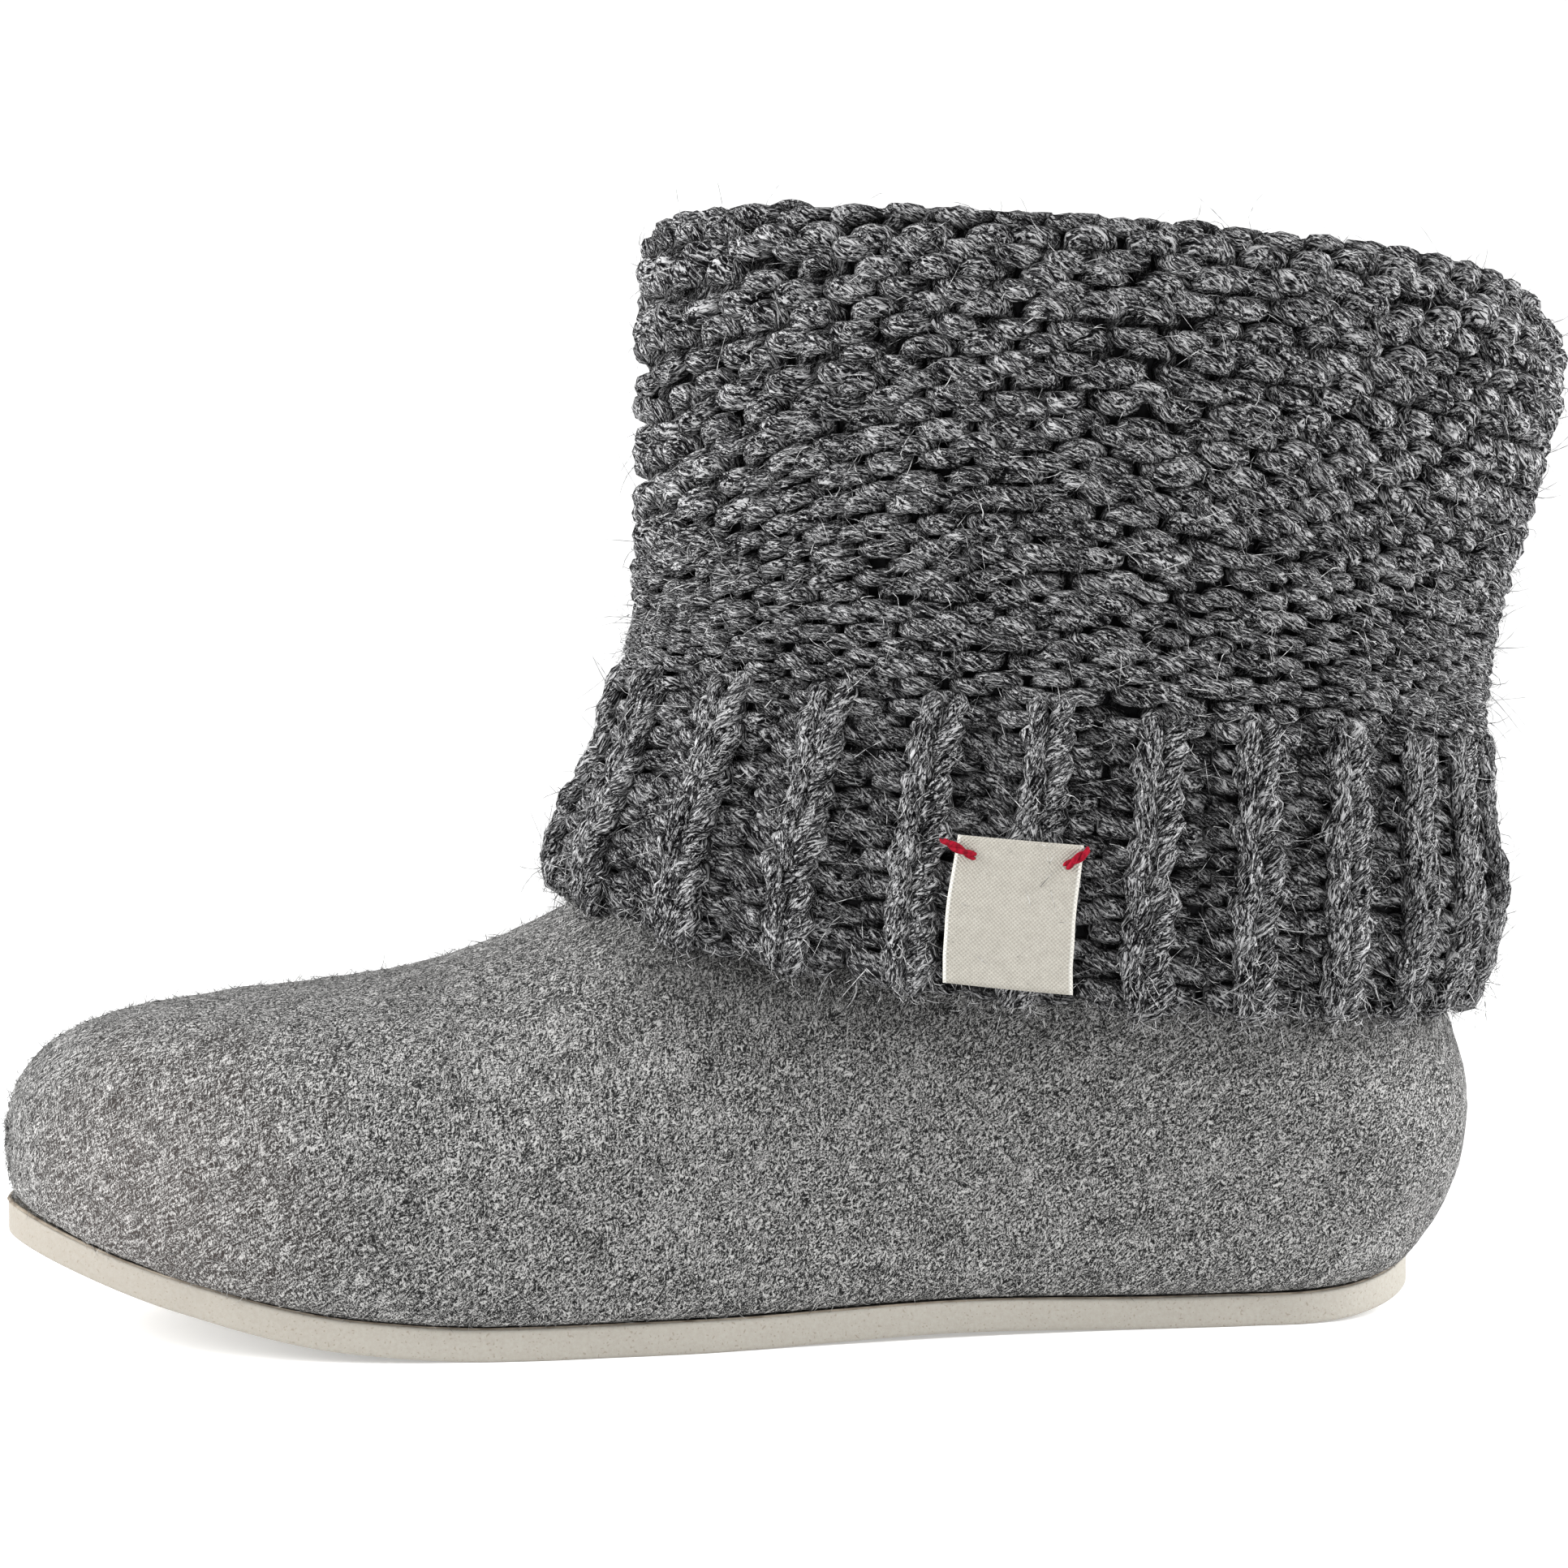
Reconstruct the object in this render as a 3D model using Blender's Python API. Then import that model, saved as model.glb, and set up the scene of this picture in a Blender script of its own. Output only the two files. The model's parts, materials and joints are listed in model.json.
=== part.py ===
"""A wool slipper boot: a felted upper on a rubber sheet sole, with a knitted cuff turned down over the ankle.

Left shoe, in metres. The toe points along -X, up is +Z, and the outer side of the foot is -Y.
The origin is on the floor under the middle of the shoe's own box.
"""

import math

import bmesh
import bpy
import numpy as np
from mathutils import Vector

# Sole sizes
sole_length = 0.262
sole_thickness = 0.0056
sole_edge_chamfer = 0.0007
ball_width = 0.097
toe_spring = 0.0185
arch_rise = 0.0008
heel_spring = 0.0044
tip_half_width = 0.0012
tip_inset = 0.00005

# Upper sizes
felt_wall = 0.004
felt_overhang = 0.0035
felt_inset = 0.0025
instep_height = 0.104
collar_back_height = 0.088
ankle_half_width = 0.042

# Insole sizes
insole_thickness = 0.003
insole_clearance = 0.0034

# Cuff sizes
cuff_height = 0.203
cuff_back_drop = 0.012
hem_front_drop = 0.022
hem_back_drop = 0.028
knit_thickness = 0.0052
layer_gap = 0.0007
rib_height = 0.0011
stitches_round = 48

# Label sizes
label_width = 0.0222
label_length = 0.0262
label_thickness = 0.0008
label_drop = 0.006

# The gap that touching pieces keep
seat_gap = 0.0003

# Half widths of the sole as shares of ball_width, at shares of sole_length from the back
plan_columns = ("along", "outer", "inner")
plan_rows = (
    (0.00, 0.335, 0.335),
    (0.15, 0.340, 0.340),
    (0.28, 0.360, 0.300),
    (0.42, 0.425, 0.285),
    (0.55, 0.500, 0.360),
    (0.66, 0.530, 0.445),
    (0.76, 0.530, 0.470),
    (1.00, 0.530, 0.470),
)
heel_round_share = 0.13
toe_round_start_share = {"outer": 0.66, "inner": 0.80}
toe_round_power = {"outer": 2.0, "inner": 2.2}

# Height of the sole's underside: shares of heel_spring, arch_rise and toe_spring
sweep_columns = ("along", "heel", "arch", "toe")
sweep_rows = (
    (0.00, 1.00, 0.00, 0.000),
    (0.04, 0.42, 0.00, 0.000),
    (0.08, 0.10, 0.00, 0.000),
    (0.12, 0.00, 0.00, 0.000),
    (0.20, 0.00, 0.00, 0.000),
    (0.36, 0.00, 1.00, 0.000),
    (0.52, 0.00, 0.00, 0.000),
    (0.67, 0.00, 0.00, 0.000),
    (0.76, 0.00, 0.00, 0.080),
    (0.88, 0.00, 0.00, 0.440),
    (1.00, 0.00, 0.00, 1.000),
)

# Sections of the felt upper, from the toe round to the collar.
# bottom, top: shares of sole_length from the back. lift: share of collar_back_height above the sole.
# height: share of instep_height. ankle: how far the width leaves the sole's outline for the ankle's.
# girth: share of ankle_half_width. wide_at: where along the section it is widest.
# low_square, high_square: how square the lower and the upper half of the section are.
upper_columns = ("bottom", "lift", "top", "height", "ankle", "girth", "wide_at", "low_square", "high_square")
upper_rows = (
    (1.0020, 0.085, 1.0014, 0.355, 0.00, 0.90, 0.45, 2.0, 2.0),
    (0.9990, 0.034, 0.9920, 0.440, 0.00, 0.90, 0.44, 2.2, 2.1),
    (0.9880, 0.008, 0.9710, 0.502, 0.00, 0.90, 0.42, 2.6, 2.2),
    (0.9640, 0.000, 0.9400, 0.546, 0.00, 0.90, 0.40, 3.0, 2.2),
    (0.9160, 0.000, 0.8900, 0.576, 0.00, 0.90, 0.38, 3.0, 2.2),
    (0.8470, 0.000, 0.8170, 0.596, 0.00, 0.90, 0.37, 3.0, 2.2),
    (0.7630, 0.000, 0.7330, 0.623, 0.00, 0.90, 0.36, 3.0, 2.1),
    (0.6720, 0.000, 0.6560, 0.678, 0.00, 0.90, 0.35, 3.0, 1.9),
    (0.5730, 0.000, 0.5970, 0.763, 0.00, 0.90, 0.33, 3.0, 1.8),
    (0.4660, 0.000, 0.5650, 0.846, 0.10, 0.90, 0.30, 3.0, 1.9),
    (0.3510, 0.000, 0.5480, 0.899, 0.30, 0.90, 0.28, 3.0, 2.1),
    (0.2370, 0.000, 0.5410, 0.931, 0.60, 0.90, 0.27, 3.0, 2.2),
    (0.1300, 0.000, 0.5370, 0.948, 0.85, 0.90, 0.28, 2.8, 2.2),
    (0.0460, 0.000, 0.5350, 0.960, 1.00, 0.90, 0.31, 2.4, 2.2),
    (0.0040, 0.012, 0.5340, 0.968, 1.00, 0.91, 0.34, 2.4, 2.2),
    (-0.022, 0.125, 0.5330, 0.976, 1.00, 0.93, 0.36, 2.7, 2.2),
    (-0.043, 0.365, 0.5322, 0.985, 1.00, 0.95, 0.41, 2.5, 2.2),
    (-0.030, 0.610, 0.5318, 0.992, 1.00, 0.98, 0.46, 2.3, 2.2),
    (-0.028, 0.920, 0.5315, 1.000, 1.00, 1.00, 0.50, 2.2, 2.2),
)

# The knitted cuff's form, from the hem (-1) past the felt's collar (0) up to the fold (1).
# front, back: shares of sole_length that it stands off the collar. outer, inner: shares of ankle_half_width.
# dip: how soon the ring falls from its front to its back. rib: share of rib_height.
cuff_columns = ("level", "front", "back", "outer", "inner", "dip", "rib")
cuff_rows = (
    (-1.00, 0.0650, 0.0100, 0.060, 0.060, 2.6, 1.0),
    (-0.80, 0.0640, 0.0120, 0.070, 0.070, 2.4, 1.0),
    (-0.40, 0.0510, 0.0090, 0.070, 0.070, 2.0, 1.0),
    (0.000, 0.0310, 0.0010, 0.055, 0.055, 1.6, 0.9),
    (0.120, 0.0200, -0.001, 0.035, 0.035, 1.3, 0.3),
    (0.250, 0.0070, 0.0010, 0.020, 0.020, 1.0, 0.0),
    (0.420, 0.0010, 0.0110, 0.010, 0.010, 0.9, 0.0),
    (0.600, -0.001, 0.0300, 0.010, 0.010, 0.8, 0.0),
    (0.800, -0.002, 0.0500, 0.015, 0.015, 0.8, 0.0),
    (0.920, -0.003, 0.0560, 0.010, 0.010, 0.8, 0.0),
    (1.000, -0.006, 0.0450, 0.000, 0.000, 0.8, 0.0),
)
cuff_square_power = 2.2
points_per_stitch = 2
hem_round_share = 0.3
outer_face_levels = (-1.0, -0.8, -0.4, 0.0, 0.12, 0.25, 0.42, 0.6, 0.8, 0.92, 1.0)
inner_face_levels = (1.0, 0.8, 0.5, 0.25, 0.0, -0.4, -1.0)
lining_levels = (1.0, 0.6, 0.35, 0.15, 0.0)
lining_joins_share = 0.35

# How finely the forms are divided
outsole_stations = 46
insole_stations = 30
rings_per_row = 2
low_quarter_points = 6
high_quarter_points = 8
girth_samples = 721
fold_angles = (45, 90, 135)

# The felt's flat floor is at most this share of the section's half width
flat_share_limit = 0.94

# Where the label's middle lies, as a share of the way round from the front by the outer side
label_round_share = 0.217
label_columns = 6
label_rows = 5


def smooth(columns, rows, column, at):
    """Value of a table's column at a share of its first column, on a cubic curve that doesn't overshoot."""
    x = np.array([row[0] for row in rows])
    y = np.array([row[columns.index(column)] for row in rows])
    step = np.diff(x)
    chord = np.diff(y) / step
    slope = np.zeros(len(x))
    same_way = chord[:-1] * chord[1:] > 0
    both = np.where(same_way, chord[:-1] + chord[1:], 1.0)
    slope[1:-1] = np.where(same_way, 2 * chord[:-1] * chord[1:] / both, 0.0)
    slope[0] = chord[0]
    slope[-1] = chord[-1]
    i = np.clip(np.searchsorted(x, at, side="right") - 1, 0, len(x) - 2)
    t = np.clip((at - x[i]) / step[i], 0.0, 1.0)
    from_start = (2 * t**3 - 3 * t**2 + 1) * y[i] + (t**3 - 2 * t**2 + t) * step[i] * slope[i]
    from_end = (3 * t**2 - 2 * t**3) * y[i + 1] + (t**3 - t**2) * step[i] * slope[i + 1]
    return from_start + from_end


def through(values, at):
    """Smooth curve through evenly numbered values, read at a row number that may be a fraction."""
    i = int(min(max(math.floor(at), 0), len(values) - 2))
    t = at - i
    before = values[max(i - 1, 0)]
    after = values[min(i + 2, len(values) - 1)]
    start, end = values[i], values[i + 1]
    cubic = (3 * start - before - 3 * end + after) * t**3
    square = (2 * before - 5 * start + 4 * end - after) * t**2
    return 0.5 * (2 * start + (end - before) * t + square + cubic)


def along_x(share):
    """Where a share of the sole's length from its back lies, before the shoe is moved over the origin."""
    return -share * sole_length


def sole_half_width(share, side):
    """Half width of the sole on its outer or inner side, with a round heel and a round toe."""
    if share <= 0 or share >= 1:
        return 0.0
    width = smooth(plan_columns, plan_rows, side, share) * ball_width
    if share < heel_round_share:
        width *= math.sqrt(1 - (1 - share / heel_round_share) ** 2)
    start = toe_round_start_share[side]
    power = toe_round_power[side]
    if share > start:
        width *= (1 - ((share - start) / (1 - start)) ** power) ** (1 / power)
    return width


def sole_underside(share):
    """Height of the sole's underside above the floor."""
    at = min(max(share, 0.0), 1.0)
    heel = smooth(sweep_columns, sweep_rows, "heel", at) * heel_spring
    arch = smooth(sweep_columns, sweep_rows, "arch", at) * arch_rise
    toe = smooth(sweep_columns, sweep_rows, "toe", at) * toe_spring
    return heel + arch + toe


def felt_floor(share):
    """Height of the felt's underside, which lies on the sole."""
    return sole_underside(share) + sole_thickness + seat_gap


def skin(bm, rings, closed_loop=False):
    """Faces between each ring of points and the next. The ends get a fan each, or join in a closed loop."""
    loops = [[bm.verts.new(p) for p in ring] for ring in rings]
    count = len(loops[0])
    followers = loops[1:] + loops[:1] if closed_loop else loops[1:]
    for first, second in zip(loops, followers):
        for i in range(count):
            j = (i + 1) % count
            bm.faces.new((first[i], first[j], second[j], second[i]))
    if closed_loop:
        return
    for loop in (loops[0], loops[-1]):
        middle = bm.verts.new(sum((v.co for v in loop), Vector()) / count)
        for i in range(count):
            bm.faces.new((loop[i], loop[(i + 1) % count], middle))


def make_object(name, rings, material, closed_loop=False):
    """Smooth-shaded object whose surface runs over rings of points."""
    mesh = bpy.data.meshes.new(name)
    bm = bmesh.new()
    skin(bm, rings, closed_loop)
    bmesh.ops.recalc_face_normals(bm, faces=bm.faces)
    bm.to_mesh(mesh)
    bm.free()
    mesh.shade_smooth()
    mesh.set_sharp_from_angle(angle=math.radians(40))
    mesh.materials.append(material)
    obj = bpy.data.objects.new(name, mesh)
    bpy.context.scene.collection.objects.link(obj)
    return obj


def make_material(name, colour, roughness):
    made = bpy.data.materials.new(name)
    made.use_nodes = True
    shader = made.node_tree.nodes["Principled BSDF"]
    shader.inputs["Base Color"].default_value = (*colour, 1.0)
    shader.inputs["Roughness"].default_value = roughness
    shader.inputs["Metallic"].default_value = 0.0
    made.diffuse_color = (*colour, 1.0)
    return made


def close_at_ends(count, first, last):
    """Shares from first to last that lie closer together near both ends."""
    return [first + (last - first) * (1 - math.cos(math.pi * i / (count - 1))) / 2 for i in range(count)]


def sheet_rings(count, low, high, inset, chamfer):
    """Cross-sections of a sheet that follows the sole's outline: low and high give its two faces."""
    rings = []
    end_reach = (inset + tip_inset) / sole_length
    for share in close_at_ends(count, end_reach, 1 - end_reach):
        outer = max(sole_half_width(share, "outer") - inset, tip_half_width)
        inner = max(sole_half_width(share, "inner") - inset, tip_half_width)
        edge = min(chamfer, outer / 2)
        x = along_x(share)
        bottom, top = low(share), high(share)
        rings.append(
            [
                (x, -outer + edge, bottom),
                (x, -outer, bottom + edge),
                (x, -outer, top),
                (x, 0.0, top),
                (x, inner, top),
                (x, inner, bottom + edge),
                (x, inner - edge, bottom),
                (x, 0.0, bottom),
            ]
        )
    return rings


def outsole_rings():
    def top(share):
        return sole_underside(share) + sole_thickness

    return sheet_rings(outsole_stations, sole_underside, top, 0.0, sole_edge_chamfer)


def insole_rings():
    def low(share):
        return felt_floor(share) + felt_wall + 2 * seat_gap

    def high(share):
        return low(share) + insole_thickness

    inset = felt_inset + felt_wall + insole_clearance
    return sheet_rings(insole_stations, low, high, inset, sole_edge_chamfer)


def section_values(at):
    """All named values of the felt section at a row number of the table."""
    return {name: through([row[i] for row in upper_rows], at) for i, name in enumerate(upper_columns)}


def section_ends(at):
    """Lowest and highest point of a felt section in the side view, as (x, z)."""
    v = section_values(at)
    low = np.array([along_x(v["bottom"]), felt_floor(v["bottom"]) + v["lift"] * collar_back_height])
    high = np.array([along_x(v["top"]), v["height"] * instep_height])
    return low, high


def inward(end, at):
    """Unit normal of the side-view curve through one end of the sections, towards their other end."""
    row_step = 1 / 50
    last = len(upper_rows) - 1
    ahead = section_ends(min(at + row_step, last))[end]
    behind = section_ends(max(at - row_step, 0.0))[end]
    along = ahead - behind
    normal = np.array([-along[1], along[0]]) / np.linalg.norm(along)
    here = section_ends(at)
    return normal if normal @ (here[1 - end] - here[end]) > 0 else -normal


def half_section(low, along, sign, flat, wide, v):
    """Points from the bottom's middle round one side to the top's middle."""
    across_up = [(0.0, 0.0), (0.5 * flat, 0.0), (flat, 0.0)]
    power = 2 / v["low_square"]
    for angle in np.linspace(0, math.pi / 2, low_quarter_points)[1:]:
        across = flat + (wide - flat) * math.sin(angle) ** power
        across_up.append((across, v["wide_at"] * (1 - max(math.cos(angle), 0.0) ** power)))
    power = 2 / v["high_square"]
    for angle in np.linspace(0, math.pi / 2, high_quarter_points)[1:]:
        across = wide * max(math.cos(angle), 0.0) ** power
        across_up.append((across, v["wide_at"] + (1 - v["wide_at"]) * math.sin(angle) ** power))
    across_up[-1] = (0.0, 1.0)
    return [(low[0] + up * along[0], sign * across, low[1] + up * along[1]) for across, up in across_up]


def felt_ring(at, depth):
    """Ring of the felt's surface at a row number; depth is 0 on the outside and felt_wall on the inside."""
    v = section_values(at)
    low, high = section_ends(at)
    if depth:
        low, high = low + inward(0, at) * depth, high + inward(1, at) * depth
    sides = []
    for side, sign in (("outer", -1), ("inner", 1)):
        outline = sole_half_width(v["bottom"], side)
        foot = outline + felt_overhang
        wide = foot + v["ankle"] * (v["girth"] * ankle_half_width - foot)
        flat = max(outline - felt_inset, 0.0)
        if depth:
            wide -= depth * min(1.0, wide / (2 * depth))
        flat = min(flat, flat_share_limit * wide)
        sides.append(half_section(low, high - low, sign, flat, wide, v))
    outer, inner = sides
    return [*outer, *reversed(inner[1:-1])]


def upper_rings():
    """The felt's outside from the toe to the collar, then its inside back to the toe."""
    last = len(upper_rows) - 1
    rows = np.linspace(0, last, rings_per_row * last + 1)
    outside = [felt_ring(at, 0.0) for at in rows]
    inside = [felt_ring(at, felt_wall) for at in rows[::-1]]
    return outside + inside


def round_the_cuff(half_length, outer, inner, turn):
    """Points of a squared-off ring at shares of its girth from the front, by the outer side, and back."""
    angle = np.linspace(0, 2 * math.pi, girth_samples)
    power = 2 / cuff_square_power
    cosine, sine = np.cos(angle), np.sin(angle)
    along = np.sign(cosine) * np.abs(cosine) ** power
    across = np.sign(sine) * np.abs(sine) ** power * np.where(sine > 0, outer, inner)
    run = np.concatenate([[0.0], np.cumsum(np.hypot(np.diff(along * half_length), np.diff(across)))])
    at = (np.asarray(turn) % 1.0) * run[-1]
    return np.interp(at, run, along), np.interp(at, run, across)


def cuff_points(level, stand_off, turn, rise=0.0, lining=False):
    """Points of the cuff at a level, stand_off outside the felt collar's own surface."""
    v = {name: smooth(cuff_columns, cuff_rows, name, level) for name in cuff_columns[1:]}
    if lining:
        ease = min(level / lining_joins_share, 1.0)
        for name in ("front", "back", "outer", "inner"):
            v[name] = min(v[name], v[name] * ease)
        v["dip"] = 1.0
    collar_low, collar_high = section_ends(len(upper_rows) - 1)
    fold_top = cuff_height - knit_thickness - layer_gap / 2
    front_up = level * (fold_top - collar_high[1] if level > 0 else hem_front_drop)
    back_up = level * (fold_top - cuff_back_drop - collar_low[1] if level > 0 else hem_back_drop)
    front = np.array([collar_high[0] - v["front"] * sole_length, collar_high[1] + front_up])
    back = np.array([collar_low[0] + v["back"] * sole_length, collar_low[1] + back_up])
    half_length = np.linalg.norm(front - back) / 2 + stand_off
    outer = ankle_half_width * (1 + v["outer"]) + stand_off
    inner = ankle_half_width * (1 + v["inner"]) + stand_off
    along, across = round_the_cuff(half_length, outer, inner, turn)
    middle = (front[0] + back[0]) / 2
    x = middle + (front[0] - back[0]) / 2 * along * (1 + 2 * stand_off / abs(front[0] - back[0]))
    forward = ((1 + along) / 2) ** v["dip"]
    z = back[1] + (front[1] - back[1]) * forward + rise
    return np.stack([x, -across, z], axis=1)


def cuff_rings():
    """Rings of the turned-down tube: up its outer layer, over the fold, down its inner layer and back."""
    count = stitches_round * points_per_stitch
    turn = np.arange(count) / count
    half = knit_thickness / 2
    inner_middle = -felt_wall / 2
    outer_middle = inner_middle + knit_thickness + layer_gap
    fold_middle = (inner_middle + outer_middle) / 2
    fold_radius = (knit_thickness + layer_gap) / 2
    rib_wave = np.cos(2 * math.pi * turn * stitches_round / 2)

    rings = []
    for level in outer_face_levels:
        depth = rib_height * smooth(cuff_columns, cuff_rows, "rib", level)
        flat = cuff_points(level, outer_middle + half, turn)
        raised = cuff_points(level, outer_middle + half + rib_height, turn)
        rings.append(flat + (raised - flat) * (rib_wave * depth / rib_height)[:, None])
    for angle in np.radians(fold_angles):
        radius = fold_radius + half
        stand_off = fold_middle + radius * math.cos(angle)
        rings.append(cuff_points(1.0, stand_off, turn, radius * math.sin(angle)))
    for level in lining_levels:
        rings.append(cuff_points(level, inner_middle - half, turn, seat_gap, lining=True))
    for level in reversed(lining_levels):
        rings.append(cuff_points(level, inner_middle + half, turn, seat_gap, lining=True))
    rings.append(cuff_points(1.0, fold_middle, turn, layer_gap / 2))
    for level in inner_face_levels:
        rings.append(cuff_points(level, outer_middle - half, turn))
    rings.append(cuff_points(-1.0, outer_middle, turn, -hem_round_share * knit_thickness))
    return rings


def label_rings():
    """Upright strips of the label, which hangs over the ribs from the level of the collar."""
    near = -felt_wall / 2 + 1.5 * knit_thickness + layer_gap + rib_height + seat_gap
    ring = cuff_points(0.0, near, np.linspace(0, 1, 2 * stitches_round + 1))
    girth = np.linalg.norm(np.diff(ring, axis=0), axis=1).sum()
    rings = []
    for i in range(label_columns + 1):
        turn = label_round_share + (i / label_columns - 0.5) * label_width / girth
        face, back = [], []
        for j in range(label_rows + 1):
            drop = label_drop + label_length * j / label_rows
            level = max(-drop / hem_back_drop, -1.0)
            below = -drop - level * hem_back_drop
            back.append(cuff_points(level, near, [turn], below)[0])
            face.append(cuff_points(level, near + label_thickness, [turn], below)[0])
        rings.append(back + face[::-1])
    return rings


def over_origin(all_rings):
    """The rings moved so that the origin is under the middle of the whole shoe's box."""
    points = np.concatenate([np.asarray(ring, float) for rings in all_rings.values() for ring in rings])
    middle = (points.min(axis=0) + points.max(axis=0)) / 2
    shift = np.array([middle[0], middle[1], points[:, 2].min()])
    return {name: [np.asarray(ring, float) - shift for ring in rings] for name, rings in all_rings.items()}


def main():
    for obj in list(bpy.data.objects):
        bpy.data.objects.remove(obj)
    rubber = make_material("cream_rubber", (0.62, 0.585, 0.51), 0.7)
    felt = make_material("grey_felt", (0.235, 0.235, 0.23), 0.95)
    insole_felt = make_material("insole_felt", (0.30, 0.295, 0.28), 0.95)
    wool = make_material("grey_wool_knit", (0.075, 0.075, 0.078), 0.95)
    tape = make_material("cream_label_tape", (0.60, 0.565, 0.49), 0.8)
    rings = over_origin(
        {
            "outsole": outsole_rings(),
            "felt_upper": upper_rings(),
            "insole": insole_rings(),
            "knit_cuff": cuff_rings(),
            "label": label_rings(),
        }
    )
    make_object("outsole", rings["outsole"], rubber)
    make_object("felt_upper", rings["felt_upper"], felt)
    make_object("insole", rings["insole"], insole_felt)
    make_object("knit_cuff", rings["knit_cuff"], wool, closed_loop=True)
    make_object("label", rings["label"], tape)


main()
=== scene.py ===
import json
import math

import bmesh
import bpy
import numpy as np
from mathutils import Matrix, Vector

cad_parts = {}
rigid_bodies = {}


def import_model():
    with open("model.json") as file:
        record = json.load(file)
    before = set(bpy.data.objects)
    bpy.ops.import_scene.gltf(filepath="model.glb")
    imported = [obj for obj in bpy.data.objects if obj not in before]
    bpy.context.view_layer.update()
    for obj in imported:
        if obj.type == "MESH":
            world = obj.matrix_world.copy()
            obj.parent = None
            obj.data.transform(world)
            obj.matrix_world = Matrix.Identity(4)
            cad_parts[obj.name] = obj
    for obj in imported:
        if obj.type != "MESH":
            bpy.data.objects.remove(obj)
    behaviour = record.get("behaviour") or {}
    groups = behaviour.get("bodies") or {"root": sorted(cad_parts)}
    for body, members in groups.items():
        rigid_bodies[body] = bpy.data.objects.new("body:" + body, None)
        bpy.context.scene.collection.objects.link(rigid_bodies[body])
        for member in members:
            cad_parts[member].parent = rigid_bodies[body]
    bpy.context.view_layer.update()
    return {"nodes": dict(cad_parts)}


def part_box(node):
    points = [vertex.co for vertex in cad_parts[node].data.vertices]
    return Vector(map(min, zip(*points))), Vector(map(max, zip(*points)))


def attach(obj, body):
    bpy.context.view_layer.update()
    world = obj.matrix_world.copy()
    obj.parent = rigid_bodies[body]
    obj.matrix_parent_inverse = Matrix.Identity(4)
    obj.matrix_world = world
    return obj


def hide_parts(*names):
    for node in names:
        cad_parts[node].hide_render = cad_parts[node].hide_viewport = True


for leftOver in list(bpy.data.objects):
    bpy.data.objects.remove(leftOver)
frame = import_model()
print("frame loaded:", sorted(frame["nodes"]))

# The shoe's driving sizes in metres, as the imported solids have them
shoe = {
    "soleLength": 0.262,
    "soleThickness": 0.0056,
    "ballWidth": 0.097,
    "toeSpring": 0.0185,
    "archRise": 0.0008,
    "heelSpring": 0.0044,
    "feltWall": 0.004,
    "feltOverhang": 0.0035,
    "feltInset": 0.0025,
    "instepHeight": 0.104,
    "collarBackHeight": 0.088,
    "ankleHalfWidth": 0.042,
    "insoleThickness": 0.003,
    "insoleClearance": 0.0034,
    "cuffHeight": 0.203,
    "cuffBackDrop": 0.012,
    "hemFrontDrop": 0.022,
    "hemBackDrop": 0.028,
    "knitThickness": 0.0052,
    "layerGap": 0.0007,
    "seatGap": 0.0003,
    "endGap": 0.00005,
    "tipHalfWidth": 0.0012,
    "stitchesRound": 48,
}

# Half widths of the sole: place from the back, outer side, inner side
planTable = np.array((
    (0.00, 0.335, 0.335), (0.15, 0.340, 0.340), (0.28, 0.360, 0.300), (0.42, 0.425, 0.285),
    (0.55, 0.500, 0.360), (0.66, 0.530, 0.445), (0.76, 0.530, 0.470), (1.00, 0.530, 0.470),
))
# Lift of the sole's underside: place from the back, shares of heel spring, arch rise and toe spring
sweepTable = np.array((
    (0.00, 1.00, 0, 0), (0.04, 0.42, 0, 0), (0.08, 0.10, 0, 0), (0.12, 0, 0, 0), (0.20, 0, 0, 0),
    (0.36, 0, 1, 0), (0.52, 0, 0, 0), (0.67, 0, 0, 0), (0.76, 0, 0, 0.08), (0.88, 0, 0, 0.44), (1.00, 0, 0, 1),
))
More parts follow.
